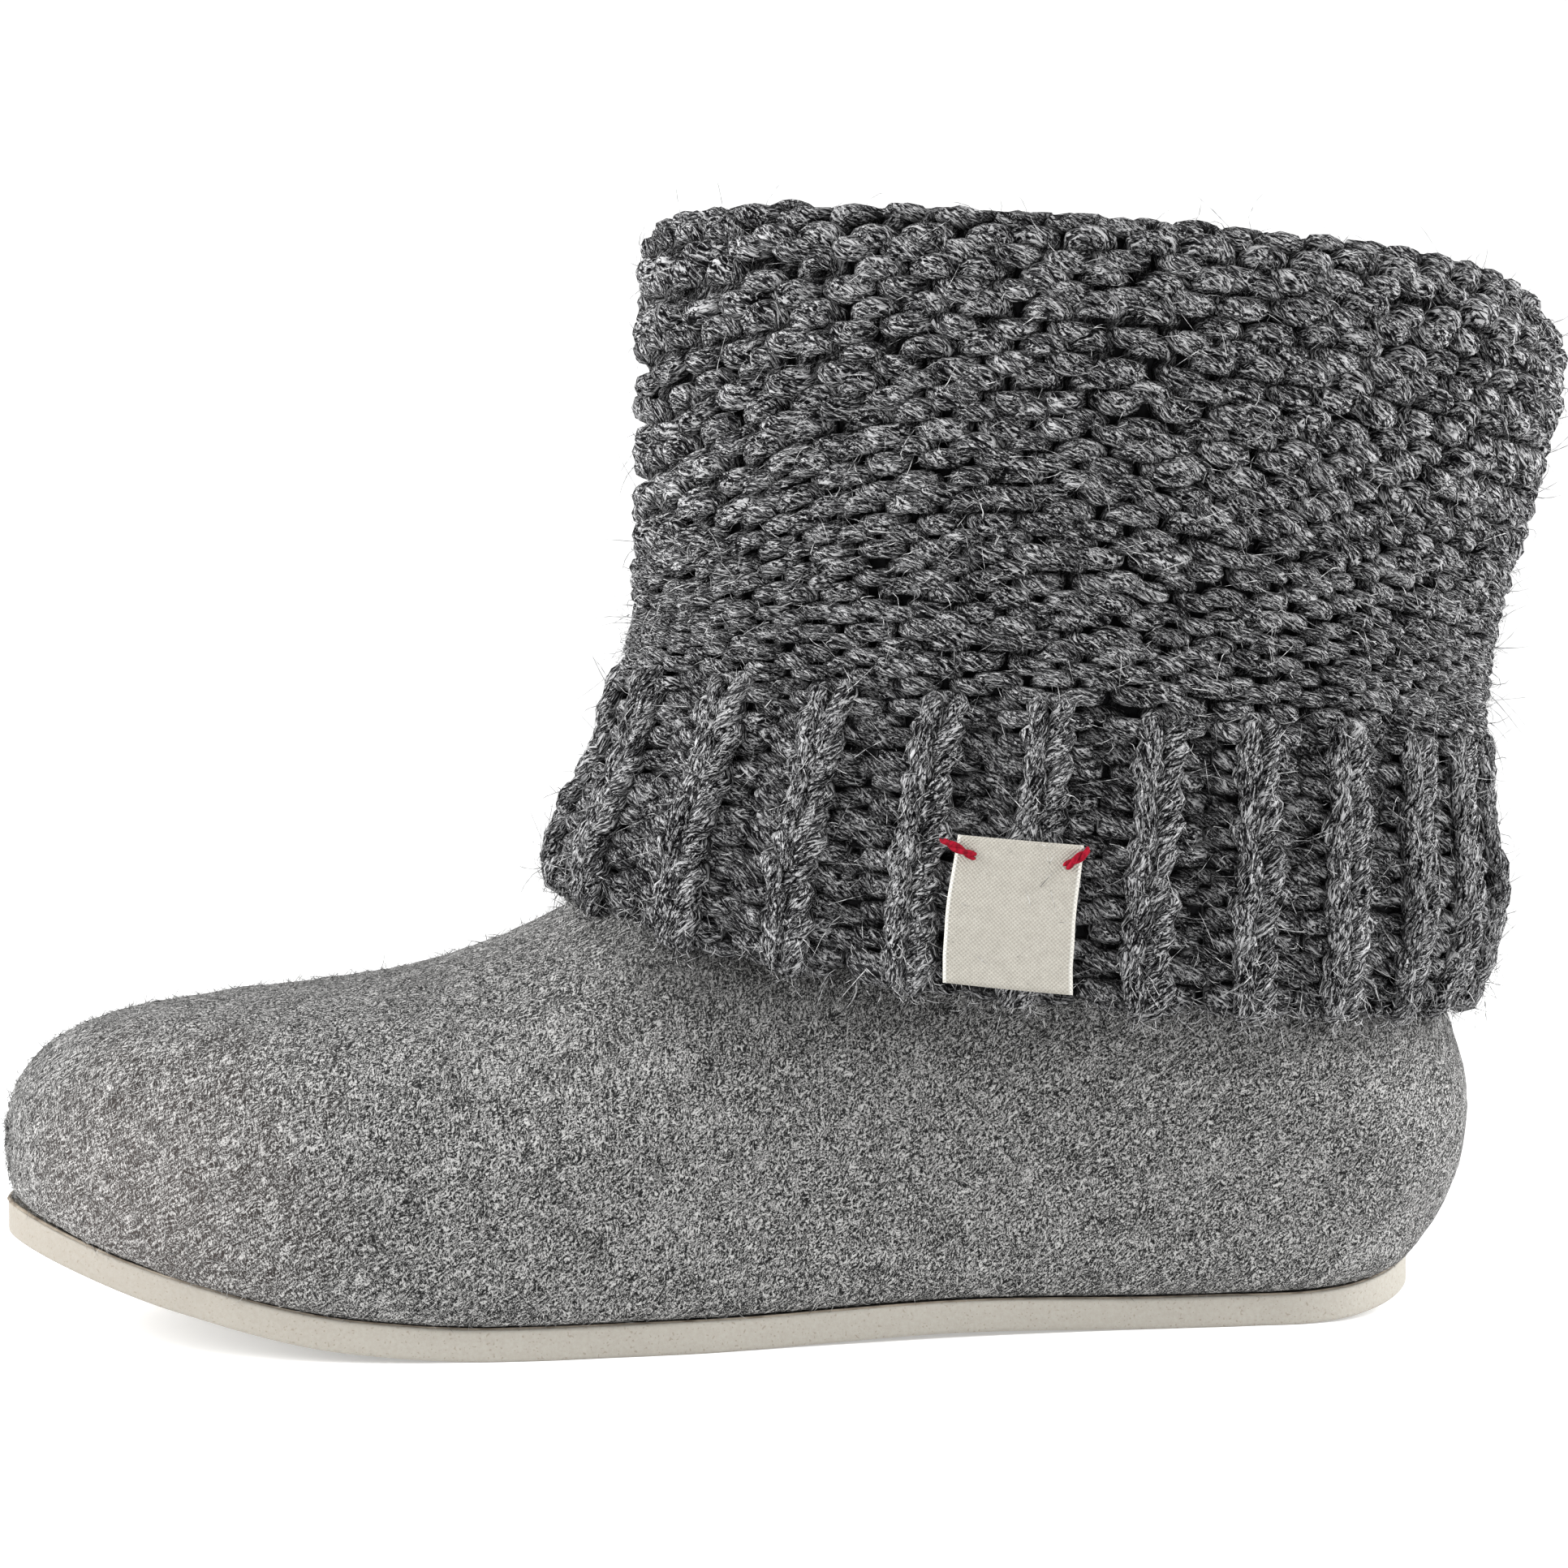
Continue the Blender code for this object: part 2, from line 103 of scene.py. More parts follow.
# Felt sections from the toe round to the collar: bottom, lift, top, height, ankle, girth, wide at,
# squareness of the lower and of the upper half
sectionTable = np.array((
    (1.0020, 0.085, 1.0014, 0.355, 0.00, 0.90, 0.45, 2.0, 2.0),
    (0.9990, 0.034, 0.9920, 0.440, 0.00, 0.90, 0.44, 2.2, 2.1),
    (0.9880, 0.008, 0.9710, 0.502, 0.00, 0.90, 0.42, 2.6, 2.2),
    (0.9640, 0.000, 0.9400, 0.546, 0.00, 0.90, 0.40, 3.0, 2.2),
    (0.9160, 0.000, 0.8900, 0.576, 0.00, 0.90, 0.38, 3.0, 2.2),
    (0.8470, 0.000, 0.8170, 0.596, 0.00, 0.90, 0.37, 3.0, 2.2),
    (0.7630, 0.000, 0.7330, 0.623, 0.00, 0.90, 0.36, 3.0, 2.1),
    (0.6720, 0.000, 0.6560, 0.678, 0.00, 0.90, 0.35, 3.0, 1.9),
    (0.5730, 0.000, 0.5970, 0.763, 0.00, 0.90, 0.33, 3.0, 1.8),
    (0.4660, 0.000, 0.5650, 0.846, 0.10, 0.90, 0.30, 3.0, 1.9),
    (0.3510, 0.000, 0.5480, 0.899, 0.30, 0.90, 0.28, 3.0, 2.1),
    (0.2370, 0.000, 0.5410, 0.931, 0.60, 0.90, 0.27, 3.0, 2.2),
    (0.1300, 0.000, 0.5370, 0.948, 0.85, 0.90, 0.28, 2.8, 2.2),
    (0.0460, 0.000, 0.5350, 0.960, 1.00, 0.90, 0.31, 2.4, 2.2),
    (0.0040, 0.012, 0.5340, 0.968, 1.00, 0.91, 0.34, 2.4, 2.2),
    (-0.022, 0.125, 0.5330, 0.976, 1.00, 0.93, 0.36, 2.7, 2.2),
    (-0.043, 0.365, 0.5322, 0.985, 1.00, 0.95, 0.41, 2.5, 2.2),
    (-0.030, 0.610, 0.5318, 0.992, 1.00, 0.98, 0.46, 2.3, 2.2),
    (-0.028, 0.920, 0.5315, 1.000, 1.00, 1.00, 0.50, 2.2, 2.2),
))
# The cuff's rings: level, stand-off at the front and the back, at the outer and the inner side, dip
cuffTable = np.array((
    (-1.00, 0.0650, 0.0100, 0.060, 0.060, 2.6), (-0.80, 0.0640, 0.0120, 0.070, 0.070, 2.4),
    (-0.40, 0.0510, 0.0090, 0.070, 0.070, 2.0), (0.000, 0.0310, 0.0010, 0.055, 0.055, 1.6),
    (0.120, 0.0200, -0.001, 0.035, 0.035, 1.3), (0.250, 0.0070, 0.0010, 0.020, 0.020, 1.0),
    (0.420, 0.0010, 0.0110, 0.010, 0.010, 0.9), (0.600, -0.001, 0.0300, 0.010, 0.010, 0.8),
    (0.800, -0.002, 0.0500, 0.015, 0.015, 0.8), (0.920, -0.003, 0.0560, 0.010, 0.010, 0.8),
    (1.000, -0.006, 0.0450, 0.000, 0.000, 0.8),
))
heelRound = 0.13
toeRoundStart = {1: 0.66, 2: 0.80}
toeRoundPower = {1: 2.0, 2: 2.2}
cuffSquare = 2.2
liningJoins = 0.35


# A table's column read at many places on a cubic that never overshoots: the slope at a row is the
# harmonic mean of the chords beside it, or zero where they turn back.
def readTable(table, column, at):
    x, y = table[:, 0], table[:, column]
    step = np.diff(x)
    chord = np.diff(y) / step
    sameWay = chord[:-1] * chord[1:] > 0
    both = np.where(sameWay, chord[:-1] + chord[1:], 1.0)
    inner = np.where(sameWay, 2 * chord[:-1] * chord[1:] / both, 0.0)
    slope = np.concatenate([chord[:1], inner, chord[-1:]])
    i = np.clip(np.searchsorted(x, at, side="right") - 1, 0, len(x) - 2)
    t = np.clip((at - x[i]) / step[i], 0.0, 1.0)
    fromStart = (2 * t**3 - 3 * t**2 + 1) * y[i] + (t**3 - 2 * t**2 + t) * step[i] * slope[i]
    fromEnd = (3 * t**2 - 2 * t**3) * y[i + 1] + (t**3 - t**2) * step[i] * slope[i + 1]
    return fromStart + fromEnd


# Evenly numbered rows read at fractions of a row, on a Catmull-Rom curve through them.
def readRows(rows, at):
    last = len(rows) - 1
    i = np.clip(np.floor(at).astype(int), 0, last - 1)
    t = (at - i)[:, None]
    before, start = rows[np.maximum(i - 1, 0)], rows[i]
    end, after = rows[i + 1], rows[np.minimum(i + 2, last)]
    cubic = (3 * start - before - 3 * end + after) * t**3
    square = (2 * before - 5 * start + 4 * end - after) * t**2
    return 0.5 * (2 * start + (end - before) * t + square + cubic)


# Half width of the sole on side 1 (outer) or 2 (inner): the plan table times a round heel and toe.
def soleHalfWidth(share, side):
    share = np.asarray(share, float)
    width = readTable(planTable, side, share) * shoe["ballWidth"]
    heel = np.clip(1 - share / heelRound, 0.0, 1.0)
    width = width * np.sqrt(np.maximum(1 - heel**2, 0.0))
    toe = np.clip((share - toeRoundStart[side]) / (1 - toeRoundStart[side]), 0.0, 1.0)
    power = toeRoundPower[side]
    width = width * np.maximum(1 - toe**power, 0.0) ** (1 / power)
    return np.where((share <= 0) | (share >= 1), 0.0, width)


# Height of the sole's underside: the sum of heel spring, arch rise and toe spring at each place.
def soleUnderside(share):
    at = np.clip(share, 0.0, 1.0)
    parts = ("heelSpring", "archRise", "toeSpring")
    return sum(readTable(sweepTable, i + 1, at) * shoe[name] for i, name in enumerate(parts))


def feltFloor(share):
    return soleUnderside(share) + shoe["soleThickness"] + shoe["seatGap"]


# Where the heel's back end and the sole's middle line lie in the frame
soleLow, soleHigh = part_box("outsole")
widest = float(soleHalfWidth(np.linspace(0.0, 1.0, 2001), 1).max())
heelX = soleHigh.x + shoe["endGap"]
middleY = soleLow.y + widest


def alongX(share):
    return heelX - np.asarray(share) * shoe["soleLength"]


# Smooth step of a value between low and high: three times the share's square less twice its cube.
def smooth(value, low=0.0, high=1.0):
    t = np.clip((value - low) / (high - low), 0, 1)
    return t * t * (3 - 2 * t)


# Smooth random field: values on a repeating lattice, blended with a smooth step between the eight corners.
def softNoise(points, size, seed):
    lattice = np.random.default_rng(seed).uniform(-1, 1, (32, 32, 32))
    at = np.asarray(points) / size
    base = np.floor(at).astype(int)
    t = smooth(at - base)
    total = 0.0
    for dx in (0, 1):
        for dy in (0, 1):
            for dz in (0, 1):
                corner = lattice[(base[..., 0] + dx) % 32, (base[..., 1] + dy) % 32, (base[..., 2] + dz) % 32]
                weight = np.where(dx, t[..., 0], 1 - t[..., 0]) * np.where(dy, t[..., 1], 1 - t[..., 1])
                total = total + corner * weight * np.where(dz, t[..., 2], 1 - t[..., 2])
    return total


def unit(vectors):
    return vectors / np.maximum(np.linalg.norm(vectors, axis=-1, keepdims=True), 1e-12)


# From the point before to the point after, along an axis that closes on itself.
def loopStep(points, axis):
    return np.roll(points, -1, axis=axis) - np.roll(points, 1, axis=axis)


# Running sum of steps along their last axis, from zero.
def runningSum(steps):
    return np.concatenate([np.zeros((*steps.shape[:-1], 1)), np.cumsum(steps, axis=-1)], axis=-1)


# Normals of a grid of points whose columns close on themselves: the cross product of its two differences.
def gridNormals(points):
    return unit(np.cross(loopStep(points, 1), np.gradient(points, axis=0)))


# Quads of a grid of rows by columns whose columns close on themselves, and whose rows may too.
def gridFaces(rows, columns, wrapRows=False, start=0):
    index = np.arange(rows * columns).reshape(rows, columns)
    right = np.roll(index, -1, axis=1)
    if wrapRows:
        below, belowRight = np.roll(index, -1, axis=0), np.roll(right, -1, axis=0)
    else:
        index, right, below, belowRight = index[:-1], right[:-1], index[1:], right[1:]
    return start + np.stack([index, right, belowRight, below], axis=-1).reshape(-1, 4)


def addObject(name, data):
    made = bpy.data.objects.new(name, data)
    bpy.context.scene.collection.objects.link(made)
    return made


# Triangles of each piece, before points that lie on each other are merged
trianglesSoFar = {}


# One mesh object from whole arrays: points, faces of equal size, and where asked a (u, v) for each corner and
# each point's rise above the fabric's middle.
def makePiece(name, points, faces, material, replaces=(), uv=None, rise=None):
    mesh = bpy.data.meshes.new(name)
    points = np.ascontiguousarray(np.asarray(points, np.float32).reshape(-1, 3))
    faces = np.ascontiguousarray(np.asarray(faces, np.int32))
    mesh.vertices.add(len(points))
    mesh.vertices.foreach_set("co", points.ravel())
    mesh.loops.add(faces.size)
    mesh.loops.foreach_set("vertex_index", faces.ravel())
    mesh.polygons.add(len(faces))
    mesh.polygons.foreach_set("loop_start", np.arange(0, faces.size, faces.shape[1], dtype=np.int32))
    mesh.update(calc_edges=True)
    if uv is not None:
        layer = mesh.uv_layers.new(name="UVMap")
        layer.uv.foreach_set("vector", np.asarray(uv, np.float32).ravel())
    if rise is not None:
        mesh.attributes.new("rise", "FLOAT", "POINT").data.foreach_set("value", np.asarray(rise, np.float32).ravel())
    mesh.polygons.foreach_set("use_smooth", np.full(len(faces), True))
    mesh.materials.append(material)
    piece = addObject(name, mesh)
    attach(piece, "root")
    if replaces:
        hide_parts(*replaces)
    trianglesSoFar[name] = len(faces) * (faces.shape[1] - 2)
    print(f"{name}: {trianglesSoFar[name]} triangles, {sum(trianglesSoFar.values())} so far")
    return piece


# Node helper: makes a node, sets its properties, and links or sets each named or numbered input.
def addNode(tree, kind, inputs=None, **settings):
    made = tree.nodes.new(kind)
    for key, value in settings.items():
        setattr(made, key, value)
    for key, value in (inputs or {}).items():
        if isinstance(value, bpy.types.NodeSocket):
            tree.links.new(value, made.inputs[key])
        else:
            made.inputs[key].default_value = value
    return made


def addMath(tree, operation, a, b=0.0, c=0.0, clamp=False):
    return addNode(tree, "ShaderNodeMath", {0: a, 1: b, 2: c}, operation=operation, use_clamp=clamp).outputs[0]


def addStep(tree, value, low, high, outLow=0.0, outHigh=1.0):
    inputs = {0: value, 1: low, 2: high, 3: outLow, 4: outHigh}
    return addNode(tree, "ShaderNodeMapRange", inputs, interpolation_type="SMOOTHSTEP").outputs[0]


def mixColour(tree, factor, a, b):
    return addNode(tree, "ShaderNodeMix", {0: factor, 6: a, 7: b}, data_type="RGBA").outputs[2]


def addRamp(tree, value, stops):
    ramp = addNode(tree, "ShaderNodeValToRGB", {0: value})
    elements = ramp.color_ramp.elements
    while len(elements) < len(stops):
        elements.new(0.5)
    for element, (place, colour) in zip(elements, stops):
        element.position = place
        element.color = (*colour, 1.0)
    return ramp.outputs[0]


def addNoise(tree, vector, scale, detail=2.0, roughness=0.5):
    inputs = {"Vector": vector, "Scale": scale, "Detail": detail, "Roughness": roughness}
    return addNode(tree, "ShaderNodeTexNoise", inputs).outputs[0]


# A new material, its node tree, its shader and its texture coordinates.
def newMaterial(name):
    made = bpy.data.materials.new(name)
    made.use_nodes = True
    tree = made.node_tree
    return made, tree, tree.nodes["Principled BSDF"], addNode(tree, "ShaderNodeTexCoord").outputs


def setValues(shader, values):
    for key, value in values.items():
        shader.inputs[key].default_value = value


# Links a material's colour and a bump of its height, and sets its plain values.
def finishShader(tree, shader, colour, height, strength, distance, values):
    bump = addNode(tree, "ShaderNodeBump", {"Strength": strength, "Distance": distance, "Height": height})
    tree.links.new(colour, shader.inputs["Base Color"])
    tree.links.new(bump.outputs[0], shader.inputs["Normal"])
    setValues(shader, values)


# Node group: a tangle of fine fibres. The vector is bent by a soft noise, then read by noises that are stretched
# along several directions. Where one crosses its mean it draws a thin line, a fibre over what the others drew,
# light or dark as the noise before it says.
def buildFibreTangle():
    group = bpy.data.node_groups.new("fibreTangle", "ShaderNodeTree")
    face = group.interface
    face.new_socket("Vector", in_out="INPUT", socket_type="NodeSocketVector")
    for name, value in (("Length", 0.004), ("Width", 0.0004), ("Curl", 0.0006), ("Spread", 1.0)):
        face.new_socket(name, in_out="INPUT", socket_type="NodeSocketFloat").default_value = value
    face.new_socket("Shade", in_out="OUTPUT", socket_type="NodeSocketFloat")
    start = group.nodes.new("NodeGroupInput").outputs
    end = group.nodes.new("NodeGroupOutput").inputs
    bendScale = addMath(group, "DIVIDE", 1.1, start["Length"])
    bend = addNode(group, "ShaderNodeTexNoise", {"Vector": start["Vector"], "Scale": bendScale, "Detail": 1.0})
    centred = addNode(group, "ShaderNodeVectorMath", {0: bend.outputs[1], 1: (0.5, 0.5, 0.5)}, operation="SUBTRACT")
    reach = addMath(group, "MULTIPLY", start["Curl"], 4.0)
    warp = addNode(group, "ShaderNodeVectorMath", {0: centred.outputs[0], "Scale": reach}, operation="SCALE")
    bent = addNode(group, "ShaderNodeVectorMath", {0: start["Vector"], 1: warp.outputs[0]}, operation="ADD")
    thin = addMath(group, "DIVIDE", 1.0, start["Width"])
    slow = addMath(group, "DIVIDE", 1.0, start["Length"])
    stretch = addNode(group, "ShaderNodeCombineXYZ", {0: slow, 1: thin, 2: thin}).outputs[0]
    shade, before = None, None
    turns = ((0.25, 0.5, 0.55), (-0.3, -0.35, -0.6), (0.9, 1.0, 0.15), (-1.0, 0.4, 1.5), (0.4, -0.9, -1.1))
    for i, turn in enumerate(turns):
        angles = addNode(group, "ShaderNodeVectorMath", {0: turn, "Scale": start["Spread"]}, operation="SCALE")
        turned = addNode(group, "ShaderNodeVectorRotate", {"Vector": bent.outputs[0], "Rotation": angles.outputs[0]},
                         rotation_type="EULER_XYZ")
        scaled = addNode(group, "ShaderNodeVectorMath",
                         {0: turned.outputs[0], 1: stretch, 2: (7.3 * i, 3.1 * i, 5.7 * i)}, operation="MULTIPLY_ADD")
        value = addNoise(group, scaled.outputs[0], 1.0, detail=0.0)
        if shade is None:
            shade, before = addStep(group, value, 0.25, 0.75), value
            continue
        tone = addStep(group, before, 0.36, 0.60)
        away = addMath(group, "ABSOLUTE", addMath(group, "SUBTRACT", value, 0.5))
        over = addStep(group, away, 0.085, 0.01)
        shade = addNode(group, "ShaderNodeMix", {0: over, 2: shade, 3: tone}, data_type="FLOAT").outputs[0]
        before = value
    group.links.new(shade, end["Shade"])
    return group


fibreTangle = buildFibreTangle()


def addTangle(tree, vector, length, width, curl, spread):
    inputs = {"Vector": vector, "Length": length, "Width": width, "Curl": curl, "Spread": spread}
    return addNode(tree, "ShaderNodeGroup", inputs, node_tree=fibreTangle).outputs["Shade"]


feltLook = {
    "dark": (0.008, 0.008, 0.008),
    "middle": (0.068, 0.068, 0.066),
    "light": (0.42, 0.416, 0.408),
    "stain": (0.36, 0.29, 0.26),
    "stainAt": (-0.122, -0.04, 0.026),
    "stainShare": 0.11,
    # share of the painted shade under the hem
    "paintedHemShadeShare": 0.64,
    "fibreLength": 0.0042,
    "fibreWidth": 0.00034,
    "curl": 0.0005,
}


# Felt: fibres over soft clouds, so that neither the dark nor the light ones are even. The stain by the toe fades
# with its distance from one point. Painted shade darkens the wool under the hem, along a line that falls to the heel.
def feltMaterial(name="feltWool", look=feltLook):
    made, tree, shader, coords = newMaterial(name)
    place = coords["Object"]
    shade = addTangle(tree, place, look["fibreLength"], look["fibreWidth"], look["curl"], 1.0)
    cloud = addNoise(tree, place, 110.0, 3.0, 0.6)
    ground = addMath(tree, "MULTIPLY_ADD", shade, 0.84, addMath(tree, "MULTIPLY_ADD", cloud, 0.5, -0.17))
    base = addRamp(tree, ground, ((0.20, look["dark"]), (0.50, look["middle"]), (0.85, look["light"])))
    away = addNode(tree, "ShaderNodeVectorMath", {0: place, 1: look["stainAt"]}, operation="DISTANCE")
    near = addStep(tree, addMath(tree, "MULTIPLY_ADD", cloud, 0.03, away.outputs["Value"]), 0.065, 0.02)
    stained = mixColour(tree, addMath(tree, "MULTIPLY", near, look["stainShare"]), base, (*look["stain"], 1.0))
    axes = addNode(tree, "ShaderNodeSeparateXYZ", {0: place})
    # painted shade under the hem: below this line and behind the instep's front, the colour is mixed towards dark
    hemLine = addMath(tree, "MULTIPLY_ADD", axes.outputs[0], -0.064, 0.0675)
    underHem = addStep(tree, addMath(tree, "SUBTRACT", axes.outputs[2], hemLine), -0.020, 0.004)
    behindFront = addStep(tree, axes.outputs[0], -0.048, -0.020)
    paintedHemShade = addMath(tree, "MULTIPLY", addMath(tree, "MULTIPLY", underHem, behindFront), look["paintedHemShadeShare"])
    stained = mixColour(tree, paintedHemShade, stained, (*look["dark"], 1.0))
    surface = {"Roughness": 0.95, "Specular IOR Level": 0.05, "Sheen Weight": 0.06, "Sheen Roughness": 0.6}
    finishShader(tree, shader, stained, shade, 0.8, 0.0004, surface)
    return made


yarnLook = {
    "dark": (0.0012, 0.0012, 0.0015),
    "middle": (0.055, 0.055, 0.058),
    "light": (0.40, 0.40, 0.405),
    "fibreLength": 0.0075,
    "fibreWidth": 0.00045,
    "curl": 0.0007,
    "spread": 0.42,
    "radius": 0.0018,
    "twist": -330.0,
}


# The yarn's own u runs along it in metres and v once round it. They become a point on a long cylinder
# that turns with the twist, so the streaks follow the strand with no seam.
def yarnMaterial():
    made, tree, shader, coords = newMaterial("woolYarn")
    uv = addNode(tree, "ShaderNodeSeparateXYZ", {0: coords["UV"]})
    twist = addMath(tree, "MULTIPLY", uv.outputs[0], yarnLook["twist"])
    angle = addMath(tree, "MULTIPLY_ADD", uv.outputs[1], 2 * math.pi, twist)
    y = addMath(tree, "MULTIPLY", addMath(tree, "COSINE", angle), yarnLook["radius"])
    z = addMath(tree, "MULTIPLY", addMath(tree, "SINE", angle), yarnLook["radius"])
    onStrand = addNode(tree, "ShaderNodeCombineXYZ", {0: uv.outputs[0], 1: y, 2: z}).outputs[0]
    shade = addTangle(tree, onStrand, *(yarnLook[key] for key in ("fibreLength", "fibreWidth", "curl", "spread")))
    cloud = addNoise(tree, coords["Object"], 160.0, 2.0, 0.6)
    ground = addMath(tree, "MULTIPLY_ADD", shade, 0.78, addMath(tree, "MULTIPLY_ADD", cloud, 0.7, -0.24))
    wool = addRamp(tree, ground, ((0.14, yarnLook["dark"]), (0.5, yarnLook["middle"]), (0.90, yarnLook["light"])))
    # painted shade: points that lie low in the fabric, between the loops, are mixed towards the dark colour
    rise = addNode(tree, "ShaderNodeAttribute", attribute_name="rise").outputs["Fac"]
    base = mixColour(tree, addStep(tree, rise, -0.0013, 0.0027, 0.006, 1.0), (*yarnLook["dark"], 1.0), wool)
    surface = {"Roughness": 0.95, "Specular IOR Level": 0.02, "Sheen Weight": 0.02, "Sheen Roughness": 0.5}
    finishShader(tree, shader, base, shade, 1.0, 0.0007, surface)
    return made


# Plain wool for single fibres, from dark to light by a slow noise in space.
def strayMaterial(name, stops):
    made, tree, shader, coords = newMaterial(name)
    place = coords["Object"]
    colour = addRamp(tree, addNoise(tree, place, 900.0, 0.0), stops)
    tree.links.new(colour, shader.inputs["Base Color"])
    setValues(shader, {"Roughness": 0.8, "Specular IOR Level": 0.2})
    return made


rubberLook = {"toe": (0.275, 0.254, 0.218), "heel": (0.350, 0.333, 0.293), "speck": (0.19, 0.15, 0.11)}


# Rubber: the toe's tone blends into the heel's along the sole, with fine grain and a few darker specks.
def rubberMaterial():
    made, tree, shader, coords = newMaterial("creamRubber")
    place = coords["Object"]
    x = addNode(tree, "ShaderNodeSeparateXYZ", {0: place}).outputs[0]
    along = addStep(tree, addMath(tree, "MULTIPLY_ADD", addNoise(tree, place, 30.0), 0.03, x), -0.135, -0.045)
    base = mixColour(tree, along, (*rubberLook["toe"], 1.0), (*rubberLook["heel"], 1.0))
    grain = addNoise(tree, place, 1400.0, 3.0, 0.6)
    specks = addStep(tree, addNoise(tree, place, 2300.0, 0.0), 0.70, 0.78)
    spotted = mixColour(tree, addMath(tree, "MULTIPLY", specks, 0.55), base, (*rubberLook["speck"], 1.0))
    shaded = mixColour(tree, addStep(tree, grain, 0.75, 0.25, 0.0, 0.22), spotted, (*rubberLook["speck"], 1.0))
    finishShader(tree, shader, shaded, grain, 0.35, 0.0002, {"Roughness": 0.7})
    return made


# Plain weave: two families of fine threads, each a wave across the tape, over and under in turn. Both selvedges
# are lighter and stand a little higher.
def tapeMaterial():
    made, tree, shader, coords = newMaterial("labelTape")
    uv = addNode(tree, "ShaderNodeSeparateXYZ", {0: coords["UV"]})
    across = addMath(tree, "SINE", addMath(tree, "MULTIPLY", uv.outputs[0], 2 * math.pi * 30))
    down = addMath(tree, "SINE", addMath(tree, "MULTIPLY", uv.outputs[1], 2 * math.pi * 36))
    weave = addMath(tree, "MULTIPLY", across, down)
    cloud = addNoise(tree, coords["Object"], 700.0, 3.0)
    fromEdge = addMath(tree, "ABSOLUTE", addMath(tree, "SUBTRACT", uv.outputs[0], 0.5))
    selvedge = addStep(tree, fromEdge, 0.462, 0.478)
    tone = addMath(tree, "MULTIPLY_ADD", weave, 0.20, addMath(tree, "MULTIPLY_ADD", cloud, 0.35, 0.33))
    base = addRamp(tree, tone, ((0.3, (0.29, 0.272, 0.234)), (0.7, (0.425, 0.405, 0.357))))
    edged = mixColour(tree, addMath(tree, "MULTIPLY", selvedge, 0.8), base, (0.62, 0.605, 0.56, 1.0))
    height = addMath(tree, "ADD", weave, addMath(tree, "MULTIPLY", selvedge, 2.0))
    finishShader(tree, shader, edged, height, 0.7, 0.00015, {"Roughness": 0.75, "Sheen Weight": 0.1})
    return made


def plainMaterial(name, dark, light, scale, roughness):
    made, tree, shader, coords = newMaterial(name)
    place = coords["Object"]
    noise = addNoise(tree, place, scale, 3.0)
    colour = addRamp(tree, noise, ((0.35, dark), (0.65, light)))
    finishShader(tree, shader, colour, noise, 0.4, 0.0002, {"Roughness": roughness, "Specular IOR Level": 0.12})
    return made


felt = feltMaterial()
yarn = yarnMaterial()
rubber = rubberMaterial()
tape = tapeMaterial()
padLook = {**feltLook, "dark": (0.12, 0.115, 0.105), "middle": (0.29, 0.28, 0.265), "light": (0.55, 0.53, 0.50)}
padFelt = feltMaterial("insoleFelt", padLook)
# a near-black sheet that stands in for the shade between the loops
gapShadeSheet = plainMaterial("paintedGapShade", (0.002, 0.002, 0.0025), (0.012, 0.012, 0.013), 500.0, 1.0)
redThread = plainMaterial("redThread", (0.12, 0.001, 0.006), (0.29, 0.003, 0.018), 1500.0, 0.8)
glue = plainMaterial("driedGlue", (0.13, 0.105, 0.08), (0.29, 0.25, 0.20), 300.0, 0.7)
woolTones = ((0.32, (0.07, 0.07, 0.072)), (0.46, (0.25, 0.25, 0.253)), (0.64, (0.58, 0.58, 0.58)))
lightWool = strayMaterial("strayWool", woolTones)
feltTones = ((0.30, (0.03, 0.03, 0.03)), (0.48, (0.20, 0.20, 0.196)), (0.65, (0.44, 0.436, 0.425)))
lightFelt = strayMaterial("strayFelt", feltTones)
print("materials made")


# The felt body's grid, its relief, and how its heel leans in between two pairs of heights and two lengths
feltForm = {
    "rows": 250,
    "columns": 200,
    "innerRows": 40,
    "lumpHeight": 0.0006,
    "grainHeight": 0.00016,
    "noseBulge": 0.0003,
    "heelLean": 0.0038,
    "leanFrom": (0.026, 0.060),
    "leanTo": (0.064, 0.084),
    "leanAlong": (0.060, 0.115),
}


# The section table at rows and parts of rows, with the lower and the upper end (x, z) of each section.
def sectionEnds(rows):
    v = readRows(sectionTable, rows)
    low = np.stack([alongX(v[:, 0]), feltFloor(v[:, 0]) + v[:, 1] * shoe["collarBackHeight"]], axis=1)
    high = np.stack([alongX(v[:, 2]), v[:, 3] * shoe["instepHeight"]], axis=1)
    return v, low, high


# Unit normals of the side-view line through one end of the sections, turned towards their other end.
def inward(ends, others, rows):
    along = np.gradient(ends, rows, axis=0)
    normal = unit(np.stack([-along[:, 1], along[:, 0]], axis=1))
    facing = ((others - ends) * normal).sum(axis=1, keepdims=True)
    return np.where(facing > 0, normal, -normal)


